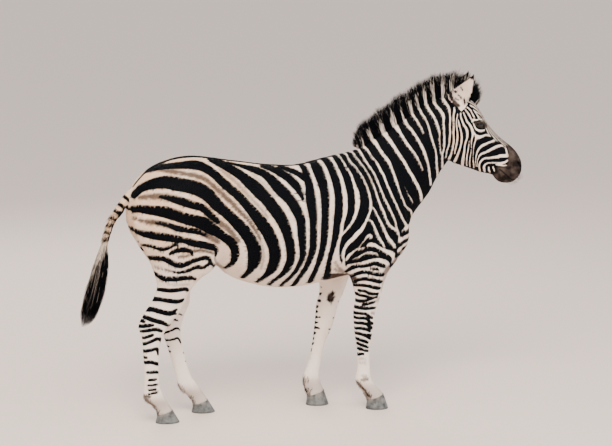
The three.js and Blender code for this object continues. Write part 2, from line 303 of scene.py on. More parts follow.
def normals_of(obj):
    """The unit normals at the object's points."""
    return read(obj.data.vertices, "normal", 3)


def apply_modifiers(obj):
    """Replaces the object's mesh by what its modifiers make of it."""
    graph = bpy.context.evaluated_depsgraph_get()
    mesh = bpy.data.meshes.new_from_object(obj.evaluated_get(graph))
    obj.modifiers.clear()
    old, obj.data = obj.data, mesh
    bpy.data.meshes.remove(old)


def smoothstep(low, high, value):
    """0 below low, 1 above high, and 3s^2 - 2s^3 between."""
    s = np.clip((value - low) / (high - low), 0, 1)
    return s * s * (3 - 2 * s)


def bell(value, centre, width):
    """1 at the centre, and exp(-r^2) at r widths from it."""
    return np.exp(-(((value - centre) / width) ** 2))


def blend(old, new, w):
    """The old value where w is 0, the new one where it is 1."""
    return old * (1 - w) + new * w


# %% Ears as closed leaves
# The outline's columns: place along the ear, then its rear and front edge in millimetres.
EAR_BASE, EAR_TIP = np.array([0.815, 1.569]), np.array([0.867, 1.742])
EAR_Y, EAR_LEAN, EAR_CUP, EAR_THICK = 0.082, 0.024, 0.040, 0.0085
EAR_OUTLINE = np.array([
    [-0.2, -40, 4], [0, -55, 5], [0.12, -87, 10], [0.22, -97, 18], [0.35, -86, 24],
    [0.5, -68, 24], [0.65, -47, 21], [0.8, -24, 17], [0.92, -7, 11], [1, 0, 4],
])


def ear_grid(side, around=28, rows=40, first=-0.2):
    """A leaf: base + up t + forward wide, pushed towards the middle plane by cup sin^2."""
    t = np.linspace(first, 1, rows + 1)[:, None]
    angle = np.linspace(0, 2 * np.pi, around, endpoint=False)[None]
    up = EAR_TIP - EAR_BASE
    forward = np.array([up[1], -up[0]]) / np.hypot(*up)
    behind = np.interp(t, EAR_OUTLINE[:, 0], EAR_OUTLINE[:, 1]) / 1000 + COAT_DEPTH["ear"]
    front = np.interp(t, EAR_OUTLINE[:, 0], EAR_OUTLINE[:, 2]) / 1000 - COAT_DEPTH["ear"]
    full = fullness((t - first) / (1 - first), 0.08)
    wide = (front + behind) / 2 + full * np.cos(angle) * (front - behind) / 2
    sin = np.sin(angle)
    hollow = EAR_CUP * np.clip(1 - t, 0, 1) ** 0.8 * sin**2 + EAR_THICK / 2 * sin
    x = EAR_BASE[0] + up[0] * t + forward[0] * wide
    z = EAR_BASE[1] + up[1] * t + forward[1] * wide
    y = side * (EAR_Y + EAR_LEAN * t - hollow * full)
    return np.stack([x, y + 0 * x, z], -1)


# %% Lofts of every part, joined and grown together
TRUNK_LOFT = dict(around=96, rows=120, cap=0.06, box=0.94, grow=-COAT_DEPTH["trunk"])
NECK_LOFT = dict(around=72, rows=70, cap=0.06, grow=-COAT_DEPTH["trunk"])
HEAD_LOFT = dict(around=96, rows=130, cap=0.045, box=0.92, grow=-COAT_DEPTH["head"])
LEG_LOFT = dict(around=40, rows=180, cap=0.03, box=0.95, grow=-COAT_DEPTH["leg"])
TAIL_LOFT = dict(around=28, rows=60, cap=0.05, grow=-COAT_DEPTH["tail"])
SKIN_VOXEL = 0.0042
grids = [loft(TRUNK, **TRUNK_LOFT), loft(NECK, **NECK_LOFT), loft(HEAD, **HEAD_LOFT)]
grids += [loft(TAIL, **TAIL_LOFT), ear_grid(-1), ear_grid(1)]
for rungs, step in ((FORE_LEG, LEFT_FORE_STEP), (HIND_LEG, LEFT_HIND_STEP)):
    grids += [loft(rungs, **LEG_LOFT, side=1), loft(rungs, **LEG_LOFT, side=-1, step=step)]
verts, faces, count = [], [], 0
for grid in grids:
    rows, around = grid.shape[0] - 1, grid.shape[1]
    verts.append(grid.reshape(-1, 3))
    faces.append(tube_faces(rows, around, count))
    count += (rows + 1) * around
skin = new_object("skin", np.vstack(verts), np.vstack(faces))
remesh = skin.modifiers.new("one surface", "REMESH")
remesh.mode = "VOXEL"
remesh.voxel_size = SKIN_VOXEL
apply_modifiers(skin)
print("skin grown from", len(grids), "lofts:", len(skin.data.polygons), "faces")

# %% [markdown]
# ## Smoothing
# A voxel remesh leaves fine steps, and limbs leave the body in sharp creases. Each round moves a
# point towards the mean of its neighbours, then part of the way back, which takes out the steps
# and keeps the volume. More rounds fillet the creases.
# %% Smooth the skin


def neighbour_mean(points, edges, values):
    """For each point, the mean of a value over the points that share an edge with it."""
    total = np.zeros_like(values)
    number = np.bincount(edges.ravel(), minlength=len(points))[:, None]
    for axis in range(values.shape[1]):
        total[:, axis] = np.bincount(edges[:, 0], values[edges[:, 1], axis], len(points))
        total[:, axis] += np.bincount(edges[:, 1], values[edges[:, 0], axis], len(points))
    return total / np.maximum(number, 1)


def edges_of(obj):
    """The object's edges as an (n, 2) array of point numbers."""
    return read(obj.data.edges, "vertices", 2, np.int64)


def relax(points, edges, rounds, amount=0.6, back=-0.62, weight=1.0):
    """Moves points to their neighbours' mean by `amount`, then by `back`, each round."""
    for _ in range(rounds):
        for factor in (amount, back):
            points = points + factor * weight * (neighbour_mean(points, edges, points) - points)
    return points


p = points_of(skin)
edges = edges_of(skin)
groin = bell(p[:, 2], 0.80, 0.09) * (p[:, 0] < -0.42)
armpit = bell(p[:, 2], 0.79, 0.09) * (p[:, 0] > 0.05) * (p[:, 0] < 0.6)
p = relax(p, edges, 8)
p = relax(p, edges, 60, back=-0.3, weight=np.maximum(groin, armpit)[:, None])
tail_root = bell(p[:, 0], -0.90, 0.05) * bell(p[:, 2], 1.16, 0.08)
throat = bell(p[:, 0], 0.775, 0.04) * (p[:, 2] < 1.42) * (p[:, 2] > 1.2)
p = relax(p, edges, 30, back=-0.3, weight=np.maximum(tail_root, throat)[:, None])

# %% The hide ends inside the top of the hooves
# The coronet, where hair ends and horn begins: its x and z in front, and its slope.
FORE_CORONET, HIND_CORONET = (0.403, 0.078, 30 / 91), (-0.712, 0.066, 26 / 80)
FORE_HOOF_X, HIND_HOOF_X, HOOF_Y = 0.358, -0.752, 0.076
HIDE_END = 0.004  # metres under the coronet
TUCK = 0.02  # metres over which the hide is drawn together under its end


def is_fore(p):
    """True on the fore half of the body."""
    return p[:, 0] > -0.2


def hoof_shift(p):
    """How far the hoof below each point stands from its right twin in x."""
    shifts = [step_at(step, 50) / 1000 for step in (LEFT_FORE_STEP, LEFT_HIND_STEP)]
    return np.where(p[:, 1] > 0, np.where(is_fore(p), *shifts), 0)


def coronet_height(p):
    """Height of the sloping coronet at each point's leg: level + slope (x - front)."""
    front, level, slope = (np.where(is_fore(p), *pair) for pair in zip(FORE_CORONET, HIND_CORONET))
    return level + slope * (p[:, 0] - (front + hoof_shift(p)))


def hoof_middle(p):
    """x and y of the middle of the hoof that each point belongs to."""
    x = np.where(is_fore(p), FORE_HOOF_X, HIND_HOOF_X) + hoof_shift(p)
    return np.stack([x, np.where(p[:, 1] > 0, HOOF_Y, -HOOF_Y)], -1)


tuck = coronet_height(p) - HIDE_END - p[:, 2]
low = tuck > 0
shrink = np.clip(1 - tuck[low] / TUCK, 0.05, 1)[:, None]
centre = hoof_middle(p)[low]
p[low, :2] = centre + (p[low, :2] - centre) * shrink
p[low, 2] = (coronet_height(p) - HIDE_END)[low] - 0.25 * np.minimum(tuck[low], TUCK)
set_points(skin, p)
print("skin smoothed, and tucked into the hooves on", int(low.sum()), "points")

# %% [markdown]
# ## Relief of muscle and bone
# Under the coat one sees the shoulder blade, the point of the elbow, the hollow of the flank,
# the hip, the tendons of the legs and the bones of the face. Each is a round swelling or a line
# in side view, in centimetres, and moves the skin along its normal by some millimetres. That
# does a sculptor's work with numbers that can be corrected one by one.
# %% Swellings and hollows: x, z, half length, half height, tilt in degrees, millimetres
SWELLINGS = [
    [30, 118, 5, 17, -22, 4.0],  # shoulder blade
    [21, 121, 3, 13, -18, -4.0],  # hollow behind the blade
    [40, 103, 7, 7, 0, 5.0],  # point of the shoulder
    [24, 92, 9, 7, 20, 5.0],  # muscle above the elbow
    [21, 83, 4, 4, 0, 4.0],  # point of the elbow
    [50, 95, 4, 9, 10, 3.5],  # breast
    [38, 84, 5, 4, 20, -4.0],  # crease of breast and arm
    [-50, 117, 7, 9, 25, -7.0],  # hollow of the flank, above
    [-52, 128, 5, 4, 0, 4.0],  # hip
    [-43, 84, 7, 9, 35, -6.0],  # fold of the flank
    [-66, 104, 13, 15, 0, 4.0],  # thigh
    [-55, 87, 5, 7, 0, 4.0],  # stifle
    [-80, 104, 4, 14, 8, 3.5],  # rear edge of the thigh
    [-75, 92, 2.5, 12, 12, -3.0],  # groove in front of that edge
    [-70, 68, 6, 8, -20, 3.0],  # gaskin
    [-20, 82, 28, 7, 0, 3.0],  # barrel, low
    [-84, 50.5, 2.6, 3, 0, 3.0],  # point of the hock
    [-77, 50, 2.4, 4, 10, 2.0],  # front of the hock
    [29, 44, 4, 4, 0, 2.6],  # knee
    [31, 63, 4.5, 8, 0, 2.5],  # forearm
    [62, 131, 6, 14, -38, 3.0],  # neck muscle
    [86, 136, 5, 8, -12, 3.5],  # cheek
    [98, 139.5, 5, 1.8, -37, 2.6],  # ridge of the face
    [91, 152.2, 4.2, 1.5, -28, 4.0],  # brow
    [86.8, 153.5, 2.2, 2.2, 0, -4.5],  # hollow behind the brow
    [97, 132, 6, 3.5, -20, -2.6],  # hollow before the cheek
    [111, 129.5, 3.4, 2.6, -60, 3.4],  # wing of the nostril
    [108, 121, 3, 2.4, 0, 2.2],  # lip
]
# %% Grooves and ridges: millimetres of height, half breadth in cm, then the line's x, z
CREASES = [
    [-3.0, 1.6, (-84, 60), (-80, 66), (-77, 72)],  # above the hock, before the tendon
    [-2.4, 0.9, (-83.4, 46), (-83.2, 34), (-83.2, 20)],  # before the hind tendons
    [-2.2, 0.8, (27.9, 40), (28.0, 30), (28.0, 20)],  # before the fore tendons
    [-4.5, 2.4, (74, 129), (66, 119), (58, 108), (51, 99)],  # groove of the throat
    [-3.5, 1.5, (78, 149), (77, 138), (79, 130), (86, 126)],  # behind the jaw
    [3.0, 1.3, (80.5, 148), (80, 138), (83, 131), (90, 127), (97, 123.5)],  # edge of the jaw
    [-3.2, 0.55, (101.8, 124.6), (104.5, 122.3), (107.5, 119.6), (111, 118.6)],  # mouth
    [-2.0, 1.0, (104.5, 137), (108, 133.5), (110.5, 130.5)],  # above the nostril
    [-4.0, 2.2, (24, 98), (16, 92), (11, 84), (9, 75)],  # behind the arm
    [2.5, 2.0, (-47, 98), (-43, 90), (-41, 80)],  # edge of the flank's fold
    [-2.4, 1.5, (44, 101), (38, 94), (30, 90), (22, 90)],  # lower edge of the shoulder
]


def line_points(line, count=24):
    """The points of a smooth curve through (x, z) or (x, z, width) rows."""
    if len(line) == 2:
        return np.array(line, float)
    return smooth_curve(line, np.linspace(0, 1, max(count, 3 * len(line))))


def nearest_on(xz, a, b):
    """The projection s on the straight bit from a to b, held in 0 to 1, and the distance to it."""
    along = b - a
    s = np.clip((xz - a) @ along / max(along @ along, 1e-9), 0, 1)
    gap = xz - a - s[:, None] * along
    return s, np.hypot(gap[:, 0], gap[:, 1])


def distance_to(xz, line, margin):
    """Distance to a line less its half width, in its own units, or `margin` when far away.

    The half width changes evenly from one end of each straight bit to the other.
    """
    rows = line_points(line)
    half = rows[:, 2] / 2 if rows.shape[1] > 2 else np.zeros(len(rows))
    low = (rows[:, :2] - half[:, None]).min(0) - margin
    high = (rows[:, :2] + half[:, None]).max(0) + margin
    near = np.flatnonzero(((xz > low) & (xz < high)).all(1))
    result = np.full(len(xz), float(margin))
    q = xz[near]
    best = np.full(len(near), float(margin))
    for a, b, wa, wb in zip(rows[:-1, :2], rows[1:, :2], half[:-1], half[1:]):
        s, gap = nearest_on(q, a, b)
        best = np.minimum(best, gap - wa - s * (wb - wa))
    result[near] = best
    return result


def leg_step(x, y, z):
    """How far the left legs stand from the right ones at a point, in metres, 0 elsewhere."""
    fore = step_at(LEFT_FORE_STEP, z * 1000) / 1000 * smoothstep(-0.25, 0.02, x)
    hind = step_at(LEFT_HIND_STEP, z * 1000) / 1000 * smoothstep(-0.30, -0.47, x)
    return np.where(y > 0, fore + hind, 0)


def side_chart(p):
    """The point's x and z in centimetres on the side view, left legs laid on right ones."""
    return np.stack([p[:, 0] - leg_step(p[:, 0], p[:, 1], p[:, 2]), p[:, 2]], -1) * 100


def relief(p, normal):
    """Height in metres: swellings exp(-r^2), creases height exp(-(d / breadth)^2)."""
    xz = side_chart(p)
    height = np.zeros(len(p))
    for x, z, rx, rz, tilt, size in SWELLINGS:
        c, s = math.cos(math.radians(tilt)), math.sin(math.radians(tilt))
        u, v = xz[:, 0] - x, xz[:, 1] - z
        r = ((u * c + v * s) / rx) ** 2 + ((v * c - u * s) / rz) ** 2
        height += size * np.exp(-np.minimum(r, 30))
    for size, breadth, *line in CREASES:
        d = distance_to(xz, line, 3 * breadth)
        height += size * (np.exp(-((d / breadth) ** 2)) - math.exp(-9))
    outside = smoothstep(0.15, 0.6, np.abs(normal[:, 1])) * (normal[:, 1] * p[:, 1] > 0)
    return height / 1000 * outside


# %% Finer faces round the eyes, nostrils and mouth
FINE_SPOTS = [[0.912, 1.481, 0.052], [1.118, 1.256, 0.034], [1.055, 1.210, 0.05]]


def fine_places(p):
    """True near the eyes, nostrils and mouth, off the middle plane."""
    near = np.zeros(len(p), bool)
    for x, z, radius in FINE_SPOTS:
        near |= (np.hypot(p[:, 0] - x, p[:, 2] - z) < radius) & (np.abs(p[:, 1]) > 0.02)
    return near


def refine(obj, chosen):
    """Cuts every edge between two chosen points in half, once."""
    mesh = bmesh.new()
    mesh.from_mesh(obj.data)
    mesh.verts.ensure_lookup_table()
    wanted = [e for e in mesh.edges if chosen[e.verts[0].index] and chosen[e.verts[1].index]]
    bmesh.ops.subdivide_edges(mesh, edges=wanted, cuts=1, use_grid_fill=True)
    bmesh.ops.triangulate(mesh, faces=mesh.faces)
    mesh.to_mesh(obj.data)
    mesh.free()


refine(skin, fine_places(points_of(skin)))
p = points_of(skin)
p = p + normals_of(skin) * relief(p, normals_of(skin))[:, None]
print("relief raised on", len(p), "points")

# %% [markdown]
# ## Lids and nostrils
# The ball of the eye sits deep between two thick lids. Round the eye the skin is drawn onto a
# sphere a little larger than the ball, and within an almond opening it falls behind the ball.
# The nostril is a slanted slit that sinks into the muzzle.
# %% Eye sockets and nostrils
EYE = np.array([0.909, 0.0805, 1.481])
EYE_RADIUS = 0.0215
LID = 0.0034
LID_TILT = math.radians(-20)
OPENING_LONG, OPENING_UP, OPENING_DOWN = 0.0200, 0.0105, 0.0100
NOSTRIL_LINE = [(111.0, 128.4, 0.3), (112.1, 126.8, 1.2), (113.0, 125.0, 0.9), (112.9, 123.8, 0.3)]
NOSTRIL_DEPTH = 0.012


def eye_coordinates(p):
    """Fore-aft and up-down distance from the eye's centre, along the tilted opening."""
    u, v = p[:, 0] - EYE[0], p[:, 2] - EYE[2]
    c, s = math.cos(LID_TILT), math.sin(LID_TILT)
    return u * c + v * s, v * c - u * s


def almond(u, v):
    """Below 1 inside the opening: a curve that is a cosine arch above and below."""
    reach = np.clip(1 - (u / OPENING_LONG) ** 2, 1e-4, 1)
    half = np.where(v > 0, OPENING_UP, OPENING_DOWN) * reach**0.8
    inside = np.abs(v) / half
    return np.where(np.abs(u) < OPENING_LONG, inside, 3.0)


u, v = eye_coordinates(p)
r = np.hypot(u, v)
m = almond(u, v)
lateral = np.abs(p[:, 1])
reach = np.sqrt(np.clip((EYE_RADIUS + LID) ** 2 - r**2, 0, None))
lid_y = EYE[1] + reach
fold = 0.0016 * bell(r, 0.0235, 0.003)
onto = smoothstep(EYE_RADIUS + 0.012, EYE_RADIUS - 0.003, r) * (lateral > 0.045)
target = np.where(lid_y > lateral, lid_y, lateral + (lid_y - lateral) * 0.9)
lateral = lateral + onto * (np.maximum(target, lateral - 0.006) - lateral) - fold * (lateral > 0.045)
sunk = smoothstep(1.12, 0.86, m) * (r < EYE_RADIUS + 0.004) * (lateral > 0.045)
lateral = np.where(sunk > 0, lateral + sunk * (EYE[1] - 0.004 - lateral), lateral)
p[:, 1] = np.sign(p[:, 1]) * lateral
slit = distance_to(p[:, [0, 2]] * 100, NOSTRIL_LINE, 2.0)
pit = smoothstep(0.35, -0.35, slit) * (np.abs(p[:, 1]) > 0.012)
p[:, 1] -= np.sign(p[:, 1]) * NOSTRIL_DEPTH * pit
rim = bell(slit, 0.55, 0.35) * (np.abs(p[:, 1]) > 0.012)
p[:, 1] += np.sign(p[:, 1]) * 0.0022 * rim
set_points(skin, p)
print("lids open on", int((sunk > 0.5).sum()), "points, nostrils on", int((pit > 0.5).sum()))

# %% [markdown]
# ## The stripes
# The bands were measured on the animal's side in centimetres: x along the body, z up, and the
# band's width. Behind the shoulder black bands are laid on white. On the shoulder, neck and head
# black is the wider colour, so there the ground is black and white bands are laid on it.
# From these a point gets one number, its distance to the nearest edge: below 0 in black hair
# and above 0 in white. Bands painted on an image would blur close up. A distance keeps an edge
# sharp however wide the skin's triangles are.
# %% Black bands of the rump and thigh
BLACK_RUMP = [
    [(-83, 127.2, .3), (-80, 128.8, .7), (-75, 130.3, 1.1), (-70, 131, 1.6), (-65, 131.4, 2.1),
     (-60, 131.5, 2.9), (-55, 130.5, 3.4), (-50, 127.2, 3.6), (-45, 122.2, 4.1), (-40, 117.8, 4),
     (-35, 112.1, 4.2), (-30, 105.9, 5.3), (-27.9, 102.9, 5.8), (-25.9, 100, 5.9), (-23.4, 95, 5.8),
     (-21.7, 90, 5.6), (-21.3, 85, 5.5), (-22.3, 80, 4.7), (-23.5, 77.6, 3.3), (-25.1, 75, 2.1),
     (-27.5, 71.2, 1.3), (-27, 68.2, .7)],
    [(-89.3, 116.2, .6), (-87.5, 118.6, 1.3), (-85, 120.9, 2), (-80, 123.1, 3.7), (-73.9, 124, 5.3),
     (-70, 123.4, 5.8), (-65, 122.5, 5.8), (-60, 121.2, 6.1), (-57, 119.6, 6.1), (-54, 117.6, 5.9),
     (-50, 113, 5.4), (-45, 108.3, 4.8), (-40, 103.2, 5.4), (-37.5, 100.5, 5.7), (-33.8, 95, 5.7),
     (-31.7, 90, 6.4), (-31.3, 85, 6.1), (-31.6, 82.4, 5.1), (-32.2, 80, 3.6), (-33.2, 77.6, 2.3),
     (-35.4, 72.9, 1.2), (-35.3, 71, .8)],
    [(-78, 117.3, .4), (-75, 117.1, 1.6), (-70, 115.9, 3.1),
     (-66.5, 114.8, 3.4), (-62.3, 113.3, 3.2), (-57, 111.4, 3), (-52.3, 107, 2.6), (-49.5, 104.7, 1.6)],
    [(-95, 108, 1), (-91.3, 109.8, 1.6), (-88, 111.1, 2.9), (-85, 111, 3.4), (-80, 110.6, 4.2),
     (-75, 109.8, 5.1), (-70, 108.2, 5), (-65, 106.4, 4.9), (-60, 105, 5.3), (-57, 103.8, 5.8),
     (-52.5, 100.8, 5.2), (-50, 99.3, 4.3), (-47, 96.9, 3.9), (-44, 94.8, 4.2), (-42, 92.4, 4.2),
     (-41, 89.8, 3.8), (-40.6, 87, 3.4), (-40.9, 84.5, 2.8), (-41.5, 82.2, 1.9), (-43.7, 79, .9)],
    [(-80, 104.9, .8), (-77.6, 104.6, 1.3), (-73.4, 103.3, 1.6), (-70, 101.9, 2.2), (-66.5, 101.2, 2.2),
     (-63.4, 100.5, 2), (-60, 99.7, 1.9), (-57, 98.5, 1.2), (-55, 97.5, .5)],
    [(-95, 101.5, 1.2), (-88.6, 100, 1.8), (-85, 99.2, 2.9), (-80, 98.4, 3.2), (-75, 97.6, 3.3),
     (-70, 96.6, 2.8), (-66.5, 95.9, 2.3), (-63.5, 94.9, 2.9), (-60, 93.7, 2.7), (-54, 92.1, 2.7),
     (-51.5, 91.1, 2.6), (-50, 89.8, 1.9), (-49.7, 88.2, 1.3), (-50.1, 86.8, .8)],
    [(-86.5, 93.3, .5), (-83.9, 93.3, .9), (-81.5, 92.8, 1), (-77.6, 91.7, 1.3), (-75, 92.2, 1.2),
     (-71.3, 93.8, .6), (-69.7, 93.3, .4)],
    [(-73.7, 89.2, .5), (-72.2, 90.2, 1.2), (-70, 91, 1.7), (-67, 91.2, 1.9), (-64.5, 90.8, 1.6),
     (-63.2, 89.9, 1.1), (-62.7, 88.6, .7)],
    [(-86, 86, 1.2), (-82.8, 86.6, 1.6), (-80, 86.9, 1.9), (-77.5, 86.8, 1.9), (-75, 86, 2),
     (-72.5, 84.5, 2.2), (-70, 83.6, 2.2), (-67.5, 83.4, 2), (-65, 84.2, 1.7), (-62, 85.4, 1.5),
     (-57, 86.5, 1.5), (-55, 86.3, 1.4), (-53.5, 85.7, 1.2), (-53.4, 84.3, 1)],
    [(-71.3, 79.8, .5), (-68.1, 79.6, .8), (-65, 80.4, 1), (-62.3, 81.4, 1.1), (-60, 82.1, 1.3),
     (-57.6, 81.5, 1), (-55, 82.5, .9), (-52.8, 83.3, .9), (-50.2, 80.9, .4)],
    [(-83, 79.6, .9), (-80.3, 78.5, 1), (-78.5, 77.5, 1.4), (-76.5, 76.3, 1.9), (-74, 76.1, 2),
     (-70, 76.2, 2), (-66.5, 76.5, 1.7), (-63.5, 76.5, 1.5), (-61.5, 76, 1.1), (-60.5, 75.3, .7)],
]
# %% Black bands of the barrel
BLACK_BARREL = [
    [(-50, 133.2, 1.5), (-45, 131, 2.8), (-42.5, 129.8, 3.6), (-37.5, 126.8, 4.1), (-35, 124.8, 4.6),
     (-32.5, 122.5, 5.4), (-30, 120.3, 6.2), (-27.5, 117.6, 6.3), (-25, 114.9, 5.8), (-20, 108, 6),
     (-17.9, 104.5, 5.6), (-16, 100, 5.1), (-14.6, 95, 4.6), (-13.7, 90, 4.2), (-13.4, 85, 4),
     (-14.7, 80, 3.4), (-15.9, 77.6, 2.6), (-17.8, 75, 1.7), (-20.8, 71.2, 1.3), (-20.8, 68.2, .8),
     (-19.8, 66.8, .7)],
    [(-41, 131.4, .3), (-37.5, 130.5, .5), (-32.5, 129.1, 1.4), (-27.5, 127.5, 2.7), (-25, 126.5, 3.1),
     (-22.5, 124.8, 4), (-20, 122.1, 5), (-17.5, 119.1, 5.7), (-15, 116.5, 5.5), (-12.5, 113.6, 5.2),
     (-10.5, 110, 5.2), (-8.5, 105, 4.5), (-8, 101.2, 4.2), (-7.9, 97, 4.1), (-7.5, 90, 3.2),
     (-7.6, 85, 2.6), (-9.2, 80, 2.2), (-10.3, 77.6, 1.7), (-13.1, 73, 1.4), (-15, 69.7, 1.5),
     (-14.1, 66.8, .8)],
    [(-24, 128.9, .5), (-20, 127.9, 1.6), (-17.5, 127.1, 2.6), (-15, 125.7, 3.3), (-12.5, 124.2, 3.6),
     (-10, 122, 4.2), (-8, 119.2, 3.6), (-7, 116.8, 2.6), (-6.5, 114.8, 1.4), (-6.3, 113.2, .6)],
    [(-15, 128.1, .6), (-12.5, 127.7, 1.1), (-7.5, 126, 2.2), (-5.5, 124.8, 2.4), (-3, 123, 3)],
    [(-2.2, 130.5, 2.4), (-2.2, 128.6, 2.8), (-2, 126, 3.2), (-1.9, 120, 3.9), (-1.9, 117.5, 4.3),
     (-2, 115, 4.9), (-1.9, 110, 4.9), (-1.6, 105, 4), (-1.7, 101, 3.6), (-1.8, 95, 3.6), (-2, 90, 3.5),
     (-3.1, 85, 2.9), (-4, 82.4, 2.6), (-5.9, 77.6, 2.1), (-7.9, 73, 1.9), (-8.7, 69.4, 2.1),
     (-8.8, 68.2, 2.2)],
    [(3.9, 132, 3), (4, 130, 3.6), (4.2, 127.5, 5), (4.5, 125, 5.3), (5.3, 120, 4.7), (5.6, 115, 4.4),
     (5.2, 110, 3.9), (4.9, 105, 3.7), (4.5, 101.2, 3.8), (4.2, 97, 3.7), (3.4, 90, 3.2), (2.3, 85, 3.2),
     (1, 80, 2.3), (-.2, 75, 2.3), (-.5, 73, 2.6), (-.5, 71, 3)],
    [(9.6, 133, 3.2), (10, 131.2, 3.6), (11.2, 127.5, 3.9), (12.2, 122.4, 4.1), (12.5, 120, 4.2),
     (12.9, 115, 4.1), (12.7, 110, 4.3), (12, 105, 4.3), (11.1, 101, 3.7), (10.6, 97, 3.7),
     (9.1, 90, 2.7), (7.8, 85, 2.3), (7.3, 80, 2.5), (7.8, 75, 3.3), (8.2, 73, 3.6)],
    [(14.8, 95, 1.6), (13.7, 89, 2.1), (13.3, 87, 1.4), (13.4, 85, 1.1), (13.8, 82.5, .9), (14.6, 80.8, .7)],
    [(17, 86, 2), (16.3, 84.5, 1.2), (16.2, 83, .6), (16.6, 81, .5), (17.3, 78.5, .5)],
]
# %% Black bands of the legs
BLACK_FORE_LEG = [
    [(18.4, 75, 1.5), (19.5, 76, 1.8), (21, 77.2, 2), (23, 77.9, 1.6), (26, 77.9, 1.4), (29, 78.7, 1.8),
     (31, 79.2, 1.9), (33, 79, 1.9), (35, 78.2, 1.8), (36.5, 77.7, 1.6), (37.6, 77.2, 1.2)],
    [(29.8, 76.8, .3), (31, 76.5, .8), (33, 76.1, .8), (34, 75.7, .4)],
    [(20.8, 71.6, .7), (22, 73, 1.1), (24, 74.1, 1.3), (26, 74.7, 1.3), (28, 74.6, 1.3), (30, 74.2, 1.3),
     (32, 73.5, 1.2), (34, 73.2, 1.4), (35.5, 73, 1.7), (37, 72.8, 1.5)],
    [(22.3, 69, .8), (24, 70.3, 1), (26, 70.9, 1.2), (28, 71, 1.2), (30, 70.5, 1.1), (32, 70, 1.2),
     (34, 69.4, 1.3), (36, 69, 1.2), (36.8, 69, .6)],
    [(22.6, 67, .5), (24, 67.4, .8), (26, 67.5, .9), (28, 67.3, .9), (30, 66.9, 1), (32, 66.3, 1.2),
     (34, 65.8, 1.3), (35.7, 65.4, .9)],
    [(24.8, 64.7, .4), (26, 64.5, .7), (28, 64.2, .8), (29.5, 63.4, .8), (31.5, 62.8, .8), (35, 62.6, .4)],
    [(24, 62.8, .7), (25.5, 62, .7), (27, 61.8, .6), (29, 61.3, .5), (31, 60.6, .6), (34.5, 60.8, .4)],
    [(24.2, 59, .9), (26, 58.8, 1), (28, 59.2, .8), (30, 59.8, .6), (32, 60.2, .4)],
    [(27, 57, .4), (29, 57.3, .7), (31, 57.7, .6), (33, 58.2, .5)],
    [(24.1, 55.5, 1.1), (26, 55.3, 1.1), (28, 55, 1.1), (30, 54.9, 1), (32, 54.9, .8), (34, 54.8, .5)],
    [(23.6, 52.4, .8), (26, 52.3, .7), (28.5, 52, .7), (30, 51, .7), (31, 50.2, .8), (32.5, 49.5, .6)],
    [(23.8, 49.9, .8), (26, 49.8, .8), (28.5, 49.6, .8), (30, 48.7, .8), (31.5, 47, .9), (33, 46.2, .5)],
    [(23.9, 47, .7), (26, 47.1, .8), (28.5, 46.8, .9), (30, 45.9, .8), (31.2, 44.8, 1), (32.4, 44, .7)],
    [(24.2, 44.1, .6), (26, 44.3, .8), (28, 44.1, .9), (30, 43.4, .9), (31.5, 42.5, .6)],
    [(24.5, 41.5, .9), (26.5, 41.2, .9), (28.5, 40.7, .9), (31, 40.4, .5), (33, 40, .6)],
    [(27.5, 40.7, .6), (29.5, 39.9, .7), (31.5, 38.6, .8), (33, 37.9, .5)],
    [(25, 38.6, .8), (27, 37.8, .9), (29, 37, .9), (30.5, 36.2, .6)],
    [(25.6, 35.8, .7), (27.5, 35, .7), (29.5, 34.2, .6), (31, 33.5, .3)],
    [(26, 33.1, .8), (27.5, 32.7, .7), (29.5, 31.8, .4), (31, 31.5, .3)],
    [(26.2, 29.8, .9), (27.3, 30.1, .7), (28.5, 30.1, .3)],
]
